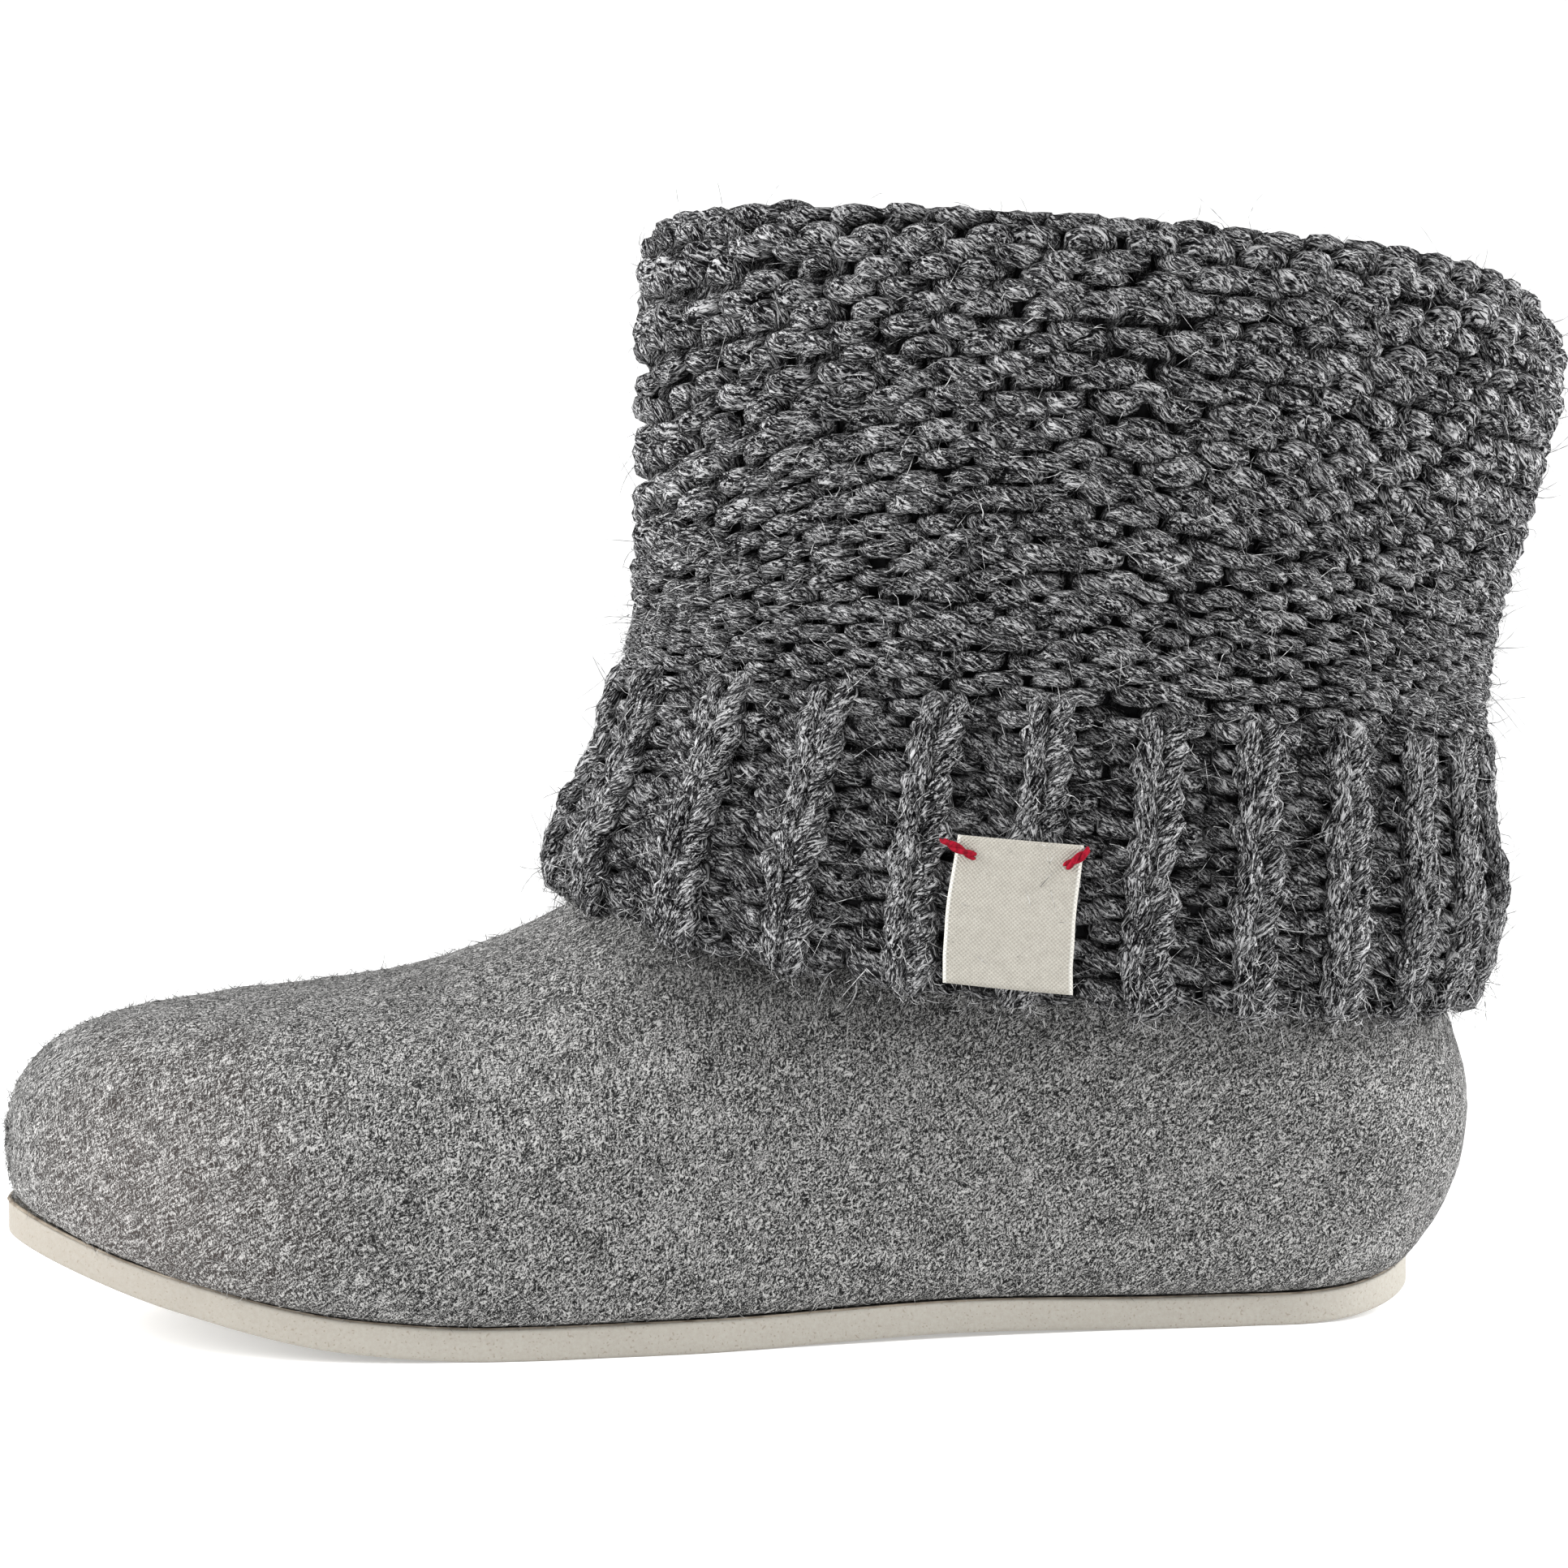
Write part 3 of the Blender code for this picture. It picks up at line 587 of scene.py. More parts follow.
# The felt sections of many rows at once, depth metres inside the felt's face: for each row the ring runs from the
# bottom's middle up the outer side, over the top's middle and down the inner side, at even steps of its length.
def feltRings(rows, columns, depth):
    v, low, high = sectionEnds(rows)
    fine = np.linspace(0, sectionTable.shape[0] - 1, 4001)
    _, fineLow, fineHigh = sectionEnds(fine)
    if depth:
        for ends, own, others in ((low, fineLow, fineHigh), (high, fineHigh, fineLow)):
            normal = inward(own, others, fine)
            ends += depth * np.stack([np.interp(rows, fine, normal[:, k]) for k in (0, 1)], axis=1)
    half = columns // 2
    dense = np.linspace(0, 1, 161)
    quarter = np.sin(0.5 * math.pi * dense) ** 2 * 0.5 * math.pi
    rings = np.zeros((len(rows), 2 * half, 3))
    upright = high - low
    tall = np.linalg.norm(upright, axis=1)
    for side, sign in ((1, -1), (2, 1)):
        outline = soleHalfWidth(v[:, 0], side)
        foot = outline + shoe["feltOverhang"]
        wide = foot + v[:, 4] * (v[:, 5] * shoe["ankleHalfWidth"] - foot)
        flat = np.maximum(outline - shoe["feltInset"], 0.0)
        if depth:
            wide = wide - depth * np.minimum(1.0, wide / (2 * depth))
        flat = np.minimum(flat, 0.94 * wide)
        lowPower, highPower = 2 / v[:, 7:8], 2 / v[:, 8:9]
        cosine, sine = np.clip(np.cos(quarter), 0, 1)[None], np.clip(np.sin(quarter), 0, 1)[None]
        across = np.concatenate([flat[:, None] * dense, flat[:, None] + (wide - flat)[:, None] * sine**lowPower,
                                 wide[:, None] * cosine**highPower], axis=1)
        up = np.concatenate([np.zeros((len(rows), len(dense))), v[:, 6:7] * (1 - cosine**lowPower),
                             v[:, 6:7] + (1 - v[:, 6:7]) * sine**highPower], axis=1)
        run = runningSum(np.hypot(np.diff(across, axis=1), np.diff(up, axis=1) * tall[:, None]))
        steps = np.linspace(0, 1, half + 1)
        for i in range(len(rows)):
            a = np.interp(steps * run[i, -1], run[i], across[i])
            u = np.interp(steps * run[i, -1], run[i], up[i])
            ring = np.stack([low[i, 0] + u * upright[i, 0], middleY + sign * a, low[i, 1] + u * upright[i, 1]], axis=1)
            if side == 1:
                rings[i, :half + 1] = ring
            else:
                rings[i, half + 1:] = ring[1:half][::-1]
    return rings


# Rows of the section table spaced evenly along the felt's bottom and top lines together.
def evenRows(count):
    fine = np.linspace(0, sectionTable.shape[0] - 1, 4001)
    _, low, high = sectionEnds(fine)
    step = np.linalg.norm(np.diff(low, axis=0), axis=1) + np.linalg.norm(np.diff(high, axis=0), axis=1)
    run = runningSum(step)
    return np.interp(np.linspace(0, run[-1], count), run, fine)


# Dents and soft creases, listed one by one: middle (x, y, z), half sizes along x, y and z, and depth. A minus makes
# a ridge.
feltDents = (
    ((-0.052, -0.040, 0.050), (0.016, 0.030, 0.020), 0.0010),
    ((-0.088, -0.030, 0.052), (0.020, 0.025, 0.014), -0.0007),
    ((-0.020, -0.050, 0.040), (0.014, 0.030, 0.022), 0.0008),
    ((0.060, -0.045, 0.040), (0.026, 0.020, 0.016), 0.0009),
    ((-0.115, 0.010, 0.050), (0.014, 0.022, 0.012), 0.0008),
    ((0.100, -0.020, 0.034), (0.016, 0.018, 0.012), 0.0008),
)


def feltRelief(points):
    relief = feltForm["lumpHeight"] * softNoise(points, 0.021, 3)
    relief += 0.4 * feltForm["lumpHeight"] * softNoise(points, 0.0085, 4)
    relief += feltForm["grainHeight"] * softNoise(points, 0.0022, 5)
    for middle, size, depth in feltDents:
        away = ((points - np.array(middle)) / np.array(size)) ** 2
        relief -= depth * np.exp(-away.sum(axis=-1))
    return relief


# The heel's back leans in over its fullest place and comes out again at the collar: smooth steps of height and
# length.
def leanHeel(points):
    lean = smooth(points[..., 2], *feltForm["leanFrom"]) * (1 - smooth(points[..., 2], *feltForm["leanTo"]))
    points[..., 0] -= feltForm["heelLean"] * lean * smooth(points[..., 0], *feltForm["leanAlong"])
    return points


def makeFelt():
    rows = evenRows(feltForm["rows"])
    outside = feltRings(rows, feltForm["columns"], 0.0)
    for _ in range(8):
        outside[1:-1] = 0.5 * outside[1:-1] + 0.25 * (outside[:-2] + outside[2:])
    outside = leanHeel(outside)
    normals = gridNormals(outside)
    if (normals[150, 60] * (outside[150, 60] - outside[150].mean(axis=0))).sum() < 0:
        normals = -normals
    floorShare = np.clip((outside[..., 2] - feltFloor(0.5) - 0.002) / 0.006, 0, 1)[..., None]
    outside = outside + normals * feltRelief(outside)[..., None] * floorShare
    insideRows = np.linspace(rows[-1], 1.3, feltForm["innerRows"])
    inside = leanHeel(feltRings(insideRows, feltForm["columns"], shoe["feltWall"]))
    # the toe's end closes on an upright line, and bulges a little
    shrink = np.array([0.0, 0.3, 0.55, 0.75, 0.9])
    line = outside[0].copy()
    line[:, 1] = middleY
    height = (line[:, 2] - line[:, 2].min()) / np.ptp(line[:, 2])
    nose = line + (outside[0] - line) * shrink[:, None, None]
    nose[..., 0] -= feltForm["noseBulge"] * (1 - shrink[:, None] ** 2) * np.sin(math.pi * height) ** 0.8
    innerLine = inside[-1].copy()
    innerLine[:, 1] = middleY
    grid = np.concatenate([nose, outside, inside, innerLine[None]])
    piece = makePiece("feltBody", grid, gridFaces(len(grid), grid.shape[1]), felt, ("felt_upper",))
    closeSeams(piece)
    return outside, normals


# Merges points that lie on each other, and turns the faces outwards.
def closeSeams(piece):
    bm = bmesh.new()
    bm.from_mesh(piece.data)
    bmesh.ops.remove_doubles(bm, verts=bm.verts, dist=1e-6)
    bmesh.ops.recalc_face_normals(bm, faces=bm.faces)
    bm.to_mesh(piece.data)
    bm.free()


outsideFelt, feltNormals = makeFelt()


# The sole's stations, round corners, uneven edge, and how its heel end is drawn in along two lengths
soleForm = {"stations": 320, "corner": 0.0007, "wobble": 0.00025, "heelDrawIn": 0.0016, "drawAlong": (0.085, 0.117)}


# A flat sheet on the sole's outline: rings across it at stations that crowd together at both ends.
# Each ring is a rectangle with round corners between a lower and an upper face. Its edge may wobble a little.
def sheetGrid(stations, low, high, inset, corner, wobble=0.0):
    reach = (inset + shoe["endGap"]) / shoe["soleLength"]
    share = reach + (1 - 2 * reach) * (1 - np.cos(np.pi * np.arange(stations) / (stations - 1))) / 2
    bottom, top = low(share), high(share)
    along = np.stack([share * 30, share * 0, share * 0], axis=1)
    outer, inner = (np.maximum(soleHalfWidth(share, side) - inset, shoe["tipHalfWidth"])
                    + wobble * softNoise(along, 1.0, seed) for side, seed in ((1, 8), (2, 9)))
    spans = np.linspace(0, 1, 14)[1:-1]
    turn = np.linspace(0, 0.5 * math.pi, 5)
    r = np.minimum(corner, 0.45 * (top - bottom))[:, None]
    b, t = bottom[:, None], top[:, None]
    o, n = outer[:, None], inner[:, None]
    y = [-o + r * (1 - np.sin(turn)), -o + r * (1 - np.cos(turn)), -o + r + (o + n - 2 * r) * spans,
         n - r * (1 - np.sin(turn)), n - r * (1 - np.cos(turn)), n - r - (o + n - 2 * r) * spans]
    z = [b + r * (1 - np.cos(turn)), t - r * (1 - np.sin(turn)), t + 0 * r * spans,
         t - r * (1 - np.cos(turn)), b + r * (1 - np.sin(turn)), b + 0 * r * spans]
    y, z = np.concatenate(y, axis=1), np.concatenate(z, axis=1)
    x = np.broadcast_to(alongX(share)[:, None], y.shape)
    return np.stack([x, middleY + y, z], axis=-1)


# Rings with one more at both ends, which is shrunk to the middle of the end ring.
def closedEnds(rings):
    first, last = (np.broadcast_to(end.mean(axis=0), end.shape)[None] for end in (rings[0], rings[-1]))
    return np.concatenate([first, rings, last])


# The sole's heel end drawn in a little under the felt: a smooth step of length.
def drawIn(points):
    points[..., 0] -= soleForm["heelDrawIn"] * smooth(points[..., 0], *soleForm["drawAlong"])
    return points


def makeSheet(name, rings, material, node):
    grid = closedEnds(rings)
    closeSeams(makePiece(name, grid, gridFaces(len(grid), grid.shape[1]), material, (node,)))


def soleTop(share):
    return soleUnderside(share) + shoe["soleThickness"]


def padLow(share):
    return feltFloor(share) + shoe["feltWall"] + 2 * shoe["seatGap"]


def padHigh(share):
    return padLow(share) + shoe["insoleThickness"]


soleRings = sheetGrid(soleForm["stations"], soleUnderside, soleTop, 0.0, soleForm["corner"], soleForm["wobble"])
makeSheet("rubberSole", drawIn(soleRings), rubber, "outsole")
padInset = shoe["feltInset"] + shoe["feltWall"] + shoe["insoleClearance"]
makeSheet("insolePad", sheetGrid(160, padLow, padHigh, padInset, 0.0012), padFelt, "insole")


# A tube of round rings along a path of points; it closes on itself, or tapers to its ends.
def tubeGrid(path, radius, sides, loop):
    if loop:
        along = unit(loopStep(path, 0))
    else:
        along = unit(np.gradient(path, axis=0))
    side = unit(np.cross(along, np.array([0.0, 0.0, 1.0])))
    up = np.cross(side, along)
    angle = 2 * math.pi * np.arange(sides) / sides
    ring = np.cos(angle)[None, :, None] * side[:, None] + np.sin(angle)[None, :, None] * up[:, None]
    return path[:, None] + np.asarray(radius).reshape(-1, 1, 1) * ring


# The bead of glue round the sole's top: its points a side, how far it lies inside the edge and how much further at
# the toe, its waves, its lift off the rubber, and its radius with what the toe adds
glueForm = {
    "points": 240,
    "inset": 0.0009,
    "toeInset": 0.0005,
    "wave": 0.0002,
    "lift": 0.00004,
    "radius": 0.00026,
    "toeRadius": 0.00022,
}


def makeGlueLine():
    last = glueForm["points"] - 1
    share = 0.001 + 0.998 * (1 - np.cos(np.pi * np.arange(last + 1) / last)) / 2
    path = []
    for side, sign in ((1, -1), (2, 1)):
        inset = glueForm["inset"] + glueForm["toeInset"] * smooth(share, 0.90, 0.99)
        width = np.maximum(soleHalfWidth(share, side) - inset, 0.0)
        wave = glueForm["wave"] * softNoise(np.stack([share * 60, share * 0 + side, share * 0], axis=1), 1.0, 12)
        height = soleTop(share) + glueForm["lift"]
        points = np.stack([alongX(share), middleY + sign * (width + wave), height], axis=1)
        path.append(points if side == 1 else points[::-1])
    path = drawIn(np.concatenate(path))
    radius = glueForm["radius"] + glueForm["toeRadius"] * smooth(np.concatenate([share, share[::-1]]), 0.90, 1.0)
    grid = tubeGrid(path, radius, 6, True)
    makePiece("glueLine", grid, gridFaces(len(grid), 6, True), glue)


makeGlueLine()

# The knitted tube: its rows, the yarn's radius, how the loops lie and vary, and how the fabric is moved at the hem,
# the fold, behind the heel and at the top's back
knit = {
    "ribRows": 11,
    "ribRowHeight": 0.0044,
    "purlRows": 16,
    "liningRows": 15,
    "radius": 0.00192,
    "headReach": 0.80,
    "sideReach": 0.185,
    "ribSideReach": 0.245,
    "ribNarrow": 0.30,
    "depth": 0.0020,
    "ribLoopDepth": 0.0014,
    "ribDepth": 0.0019,
    "plainHeight": 0.0056,
    "pressedAt": 0.222,
    "pressedDepth": 0.0013,
    "unevenness": 0.0008,
    "swingVaries": 0.25,
    "wander": 0.13,
    "sizeVaries": 0.16,
    "hemCrowding": 0.45,
    "hemSink": 0.0040,
    "hemRise": 0.10,
    "foldRise": 0.0010,
    "foldCalm": 0.65,
    "heelTuck": 0.0054,
    "tuckHeights": (0.054, 0.078),
    "tuckAlong": (0.090, 0.122),
    "backDroop": 0.0036,
    "droopHeights": (0.160, 0.185),
    "droopAlong": (0.116, 0.150),
    "lumps": 0.00022,
    "columnsOfGrid": 480,
}
outerMiddle = -shoe["feltWall"] / 2 + shoe["knitThickness"] + shoe["layerGap"]
innerMiddle = -shoe["feltWall"] / 2
foldMiddle = (outerMiddle + innerMiddle) / 2
foldRadius = (shoe["knitThickness"] + shoe["layerGap"]) / 2


# One ring of the cuff: a squared-off oval read at even steps of its girth, from the front by the outer side.
# It leans from the collar's front to its back, and its height falls from front to back by the dip's power.
def cuffRing(level, standOff, turn, rise=0.0, lining=False):
    front, back, outer, inner, dip = (float(readTable(cuffTable, i, np.array([level]))[0]) for i in range(1, 6))
    if lining:
        ease = min(level / liningJoins, 1.0)
        front, back, outer, inner = (min(value, value * ease) for value in (front, back, outer, inner))
        dip = 1.0
    _, low, high = sectionEnds(np.array([sectionTable.shape[0] - 1.0]))
    low, high = low[0], high[0]
    foldTop = shoe["cuffHeight"] - shoe["knitThickness"] - shoe["layerGap"] / 2
    frontUp = level * (foldTop - high[1] if level > 0 else shoe["hemFrontDrop"])
    backUp = level * (foldTop - shoe["cuffBackDrop"] - low[1] if level > 0 else shoe["hemBackDrop"])
    frontEnd = np.array([high[0] - front * shoe["soleLength"], high[1] + frontUp])
    backEnd = np.array([low[0] + back * shoe["soleLength"], low[1] + backUp])
    halfLength = np.linalg.norm(frontEnd - backEnd) / 2 + standOff
    outerWide = shoe["ankleHalfWidth"] * (1 + outer) + standOff
    innerWide = shoe["ankleHalfWidth"] * (1 + inner) + standOff
    angle = np.linspace(0, 2 * math.pi, 721)
    power = 2 / cuffSquare
    along = np.sign(np.cos(angle)) * np.abs(np.cos(angle)) ** power
    across = np.sign(np.sin(angle)) * np.abs(np.sin(angle)) ** power
    across = across * np.where(np.sin(angle) > 0, outerWide, innerWide)
    run = runningSum(np.hypot(np.diff(along * halfLength), np.diff(across)))
    at = (turn % 1.0) * run[-1]
    along, across = np.interp(at, run, along), np.interp(at, run, across)
    reach = (frontEnd[0] - backEnd[0]) / 2
    x = (frontEnd[0] + backEnd[0]) / 2 + reach * along * (1 + standOff / abs(reach))
    z = backEnd[1] + (frontEnd[1] - backEnd[1]) * ((1 + along) / 2) ** dip + rise
    return np.stack([x, middleY - across, z], axis=1)


# The tube's middle surface from the collar up the lining, over the fold and down the outer layer to the hem,
# where it rolls in: rings at stations, with the mean length run so far at each.
def fabricSurface():
    turn = np.arange(knit["columnsOfGrid"]) / knit["columnsOfGrid"]
    sink = -knit["hemSink"] * smooth(np.minimum(turn, 1 - turn), 0.0, knit["hemRise"])
    rings = [cuffRing(level, innerMiddle, turn, shoe["seatGap"], True) for level in np.linspace(0.03, 0.97, 68)]
    for angle in np.radians(np.linspace(180, 0, 14)):
        rise = (knit["foldRise"] + foldRadius) * math.sin(angle)
        rings.append(cuffRing(1.0, foldMiddle + foldRadius * math.cos(angle), turn, rise))
    rings += [cuffRing(level, outerMiddle, turn, sink * max(-level, 0.0)) for level in np.linspace(0.99, -1, 140)]
    for angle in np.radians(np.linspace(20, 180, 9)):
        inFrom = outerMiddle - 0.0013 * (1 - math.cos(angle))
        rings.append(cuffRing(-1.0, inFrom, turn, sink - 0.0016 * math.sin(angle)))
    for rise in (0.002, 0.004, 0.006):
        rings.append(cuffRing(-1.0, outerMiddle - 0.0026, turn, sink + rise))
    grid = np.array(rings)
    tuck = (1 - smooth(grid[..., 2], *knit["tuckHeights"])) * smooth(grid[..., 0], *knit["tuckAlong"])
    droop = smooth(grid[..., 2], *knit["droopHeights"]) * smooth(grid[..., 0], *knit["droopAlong"])
    grid[..., 0] -= knit["heelTuck"] * tuck
    grid[..., 2] -= knit["backDroop"] * droop
    step = np.linalg.norm(np.diff(grid, axis=0), axis=2).mean(axis=1)
    run = runningSum(step)
    normals = gridNormals(grid)
    if (normals[150, 120] * np.array([0, 1, 0])).sum() > 0:
        normals = -normals
    marks = {"foldTop": run[75], "foldEnd": run[81], "hem": run[221]}
    return grid, normals, run, marks


fabric, fabricNormals, fabricRun, fabricMarks = fabricSurface()
print("fabric marks", {key: round(float(value), 4) for key, value in fabricMarks.items()})


# Point and normal of the fabric at a share of its girth and a length run, blended between the four grid points
# round it.
def onFabric(turn, run):
    station = np.interp(run, fabricRun, np.arange(len(fabricRun)))
    i = np.clip(np.floor(station).astype(int), 0, len(fabricRun) - 2)
    s = (station - i)[..., None]
    column = (turn % 1.0) * knit["columnsOfGrid"]
    j = np.floor(column).astype(int) % knit["columnsOfGrid"]
    c = (column - np.floor(column))[..., None]
    k = (j + 1) % knit["columnsOfGrid"]

    def blend(grid):
        upper = grid[i, j] * (1 - c) + grid[i, k] * c
        lower = grid[i + 1, j] * (1 - c) + grid[i + 1, k] * c
        return upper * (1 - s) + lower * s

    return blend(fabric), unit(blend(fabricNormals))


# A random value for each stitch, blended smoothly from stitch to stitch round the row.
def perStitch(rows, tau, rng):
    count = shoe["stitchesRound"]
    values = rng.uniform(-1, 1, (rows, count))
    i = np.floor(tau).astype(int) % count
    t = smooth(tau - np.floor(tau))
    return values[:, i] * (1 - t) + values[:, (i + 1) % count] * t


# Rows hang lower at the front of the ankle and towards the heel, as the pulled fabric shows:
# share of the way round, extra length run. It fades towards the fold and the ribs.
sagTable = np.array(((0.0, 0.021), (0.03, 0.0195), (0.06, 0.015), (0.09, 0.009), (0.12, 0.004), (0.15, 0.001),
                     (0.22, -0.0005), (0.30, 0.0025), (0.40, 0.0085), (0.5, 0.011), (0.6, 0.0085), (0.72, 0.001),
                     (0.84, 0.001), (0.88, 0.004), (0.91, 0.009), (0.94, 0.015), (0.97, 0.0195), (1.0, 0.021)))
# The columns are pulled wider apart over the front of the ankle than at its back: share of the half girth from
# the front, and how far a column shifts back, in shares of the girth
pullTable = np.array(((0.0, 0.0), (0.042, 0.001), (0.083, 0.005), (0.125, 0.009), (0.167, 0.014), (0.208, 0.018),
                      (0.25, 0.025), (0.292, 0.028), (0.333, 0.028), (0.375, 0.023), (0.417, 0.014), (0.46, 0.006),
                      (0.5, 0.0)))


# Every row of loops as one closed strand. Along a stitch: the strand swings to and fro by sin 2t, rises and falls
# by cos t, and goes in and out by cos 2t. A purl stitch shows its heads, a knit stitch its legs, and the ribs take
# turns, with the knit columns narrower and standing proud. Ribbed is 1 for ribs and 0 for purl rows. Where the sag
# draws rows together the yarn is thinner, and where it pulls them apart, or rows are tall, it is fuller.
def strandRows(places, heights, ribbed, pointsPerStitch, seed):
    count = shoe["stitchesRound"]
    rng = np.random.default_rng(seed)
    tau = np.arange(count * pointsPerStitch) / pointsPerStitch
    t = 2 * math.pi * (tau + 0.5)
    rows = len(places)
    places, heights = np.asarray(places)[:, None], np.asarray(heights)[:, None]
    face = np.tanh(2.5 * -np.cos(math.pi * tau))[None]
    face = 1 + ribbed * (face - 1)
    wander = perStitch(rows, tau, rng)
    reach = knit["sideReach"] + ribbed * (knit["ribSideReach"] - knit["sideReach"])
    swing = reach * (1 + knit["swingVaries"] * perStitch(rows, tau, rng)) * np.sin(2 * t)
    place = tau[None] + swing + knit["wander"] * wander
    place = place - ribbed * knit["ribNarrow"] / math.pi * np.sin(math.pi * place)
    turn = (place / count) % 1.0
    turn = turn + np.sign(0.5 - turn) * readTable(pullTable, 1, np.minimum(turn, 1 - turn))
    wave = np.tanh(1.7 * np.cos(t)) / math.tanh(1.7)
    lift = heights * knit["headReach"] * (1 + knit["sizeVaries"] * perStitch(rows, tau, rng)) * wave
    run = places + lift + knit["unevenness"] * perStitch(rows, tau, rng)
    hem = fabricMarks["hem"]
    run = run - knit["hemCrowding"] * np.maximum(run - hem, 0.0)
    top, bottom = fabricMarks["foldEnd"], hem - knit["ribRows"] * knit["ribRowHeight"]
    share = np.clip((run - top) / (bottom - top), 0, 1)
    sag = readTable(sagTable, 1, turn % 1.0)
    run = run + sag * np.sin(math.pi * share) ** 1.5
    pull = 1 + sag * 1.5 * math.pi / (bottom - top) * np.cos(math.pi * share) * np.sqrt(np.sin(math.pi * share))
    fullness = np.clip(pull, 0.55, 1.22) ** 0.8 * (1 + (1 - ribbed) * (heights / knit["plainHeight"] - 1) * 0.7)
    loopDepth = knit["depth"] + ribbed * (knit["ribLoopDepth"] - knit["depth"])
    depth = loopDepth * face * np.cos(2 * t) + ribbed * knit["ribDepth"] * np.cos(math.pi * tau)
    depth = depth + 0.6 * knit["unevenness"] * perStitch(rows, tau, rng)
    underLabel = np.exp(-(((turn - knit["pressedAt"]) / 0.036) ** 4)) * smooth(run, hem - 0.034, hem - 0.028)
    depth = depth - underLabel * np.maximum(depth - knit["pressedDepth"], 0)
    depth = depth * (1 - knit["foldCalm"] * np.exp(-(((run - fabricMarks["foldTop"]) / 0.005) ** 2)))
    middle, normal = onFabric(turn, run)
    return middle + depth[..., None] * normal, normal, depth, fullness


# Tubes round all strands at once: each ring is an oval across the strand's own direction and the fabric's normal.
def makeYarn(name, strands, sides, seed):
    rng = np.random.default_rng(seed)
    paths, normals, depth, fullness = strands
    rows, count, _ = paths.shape
    along = unit(loopStep(paths, 1))
    side = unit(np.cross(along, normals))
    out = np.cross(side, along)
    angle = 2 * math.pi * np.arange(sides) / sides
    tau = np.arange(count) / count * shoe["stitchesRound"]
    thick = knit["radius"] * fullness * (1 + knit["sizeVaries"] * perStitch(rows, tau * 3 % shoe["stitchesRound"], rng))
    ring = 0.92 * np.cos(angle)[:, None] * out[..., None, :] + 1.05 * np.sin(angle)[:, None] * side[..., None, :]
    points = paths[:, :, None] + thick[..., None, None] * ring
    points = points + knit["lumps"] * softNoise(points, 0.0017, seed)[..., None] * unit(ring)
    index = np.arange(rows * count * sides).reshape(rows, count, sides)
    nextAlong, nextRound = np.roll(index, -1, axis=1), np.roll(index, -1, axis=2)
    faces = np.stack([index, nextRound, np.roll(nextAlong, -1, axis=2), nextAlong], axis=-1).reshape(-1, 4)
    step = np.linalg.norm(np.roll(paths, -1, axis=1) - paths, axis=2)
    run = runningSum(step) + 0.37 * np.arange(rows)[:, None]
    v = np.arange(sides + 1) / sides
    u0, u1 = run[:, :-1, None] + 0 * v[:-1], run[:, 1:, None] + 0 * v[:-1]
    v0, v1 = v[:-1] + 0 * u0, v[1:] + 0 * u0
    uv = np.stack([np.stack(corner, -1) for corner in ((u0, v0), (u0, v1), (u1, v1), (u1, v0))], -2)
    # each point's rise over the fabric's middle, which the yarn's colour uses to paint shade where the yarn lies deep
    rise = depth[..., None] + ((points - paths[:, :, None]) * normals[:, :, None]).sum(axis=-1)
    makePiece(name, points, faces, yarn, ("knit_cuff",), uv.reshape(-1, 2), rise)


# Rows on the outer layer from the hem up: ribs of one height, then purl rows that grow towards the fold.
def rowPlaces():
    ribPlaces = fabricMarks["hem"] - knit["ribRowHeight"] * (np.arange(knit["ribRows"]) - 0.1)
    top = ribPlaces[-1] - knit["ribRowHeight"] * 0.5
    room = top - fabricMarks["foldTop"]
    grow = np.linspace(0.80, 1.20, knit["purlRows"])
    heights = grow / grow.sum() * room
    purlPlaces = top - np.cumsum(heights) + heights / 2
    liningHeights = np.full(knit["liningRows"], fabricMarks["foldTop"] / knit["liningRows"])
    liningPlaces = fabricMarks["foldTop"] - np.cumsum(liningHeights) + liningHeights / 2
    return ribPlaces, purlPlaces, heights, liningPlaces, liningHeights


def makeKnit():
    ribPlaces, purlPlaces, heights, liningPlaces, liningHeights = rowPlaces()
    ribHeights = np.full(len(ribPlaces), knit["ribRowHeight"])
    half = len(purlPlaces) // 2
    outer = [strandRows(ribPlaces, ribHeights, 1, 18, 21),
             strandRows(purlPlaces[:half], heights[:half], 0, 18, 22),
             strandRows(purlPlaces[half:], heights[half:], 0, 18, 23)]
    for name, strands, seed in zip(("knitRib", "knitLower", "knitUpper"), outer, (31, 32, 33)):
        makeYarn(name, strands, 8, seed)
    lining = strandRows(liningPlaces, liningHeights, 0, 10, 24)
    makeYarn("knitLining", lining, 6, 34)
    return outer


outerStrands = makeKnit()


# Painted shade: a thin dark shell inside the loops, so that the gaps between them look dark and don't show through.
def makeGapShade():
    pick = np.arange(0, len(fabric) - 8, 4)
    columns = np.arange(0, knit["columnsOfGrid"], 5)
    middle, normal = fabric[pick][:, columns], fabricNormals[pick][:, columns]
    near, far = middle - 0.0009 * normal, middle - 0.0016 * normal
    grid = np.concatenate([near, far[::-1]])
    makePiece("knitGapShade", grid, gridFaces(len(grid), len(columns), True), gapShadeSheet, ("knit_cuff",))


makeGapShade()


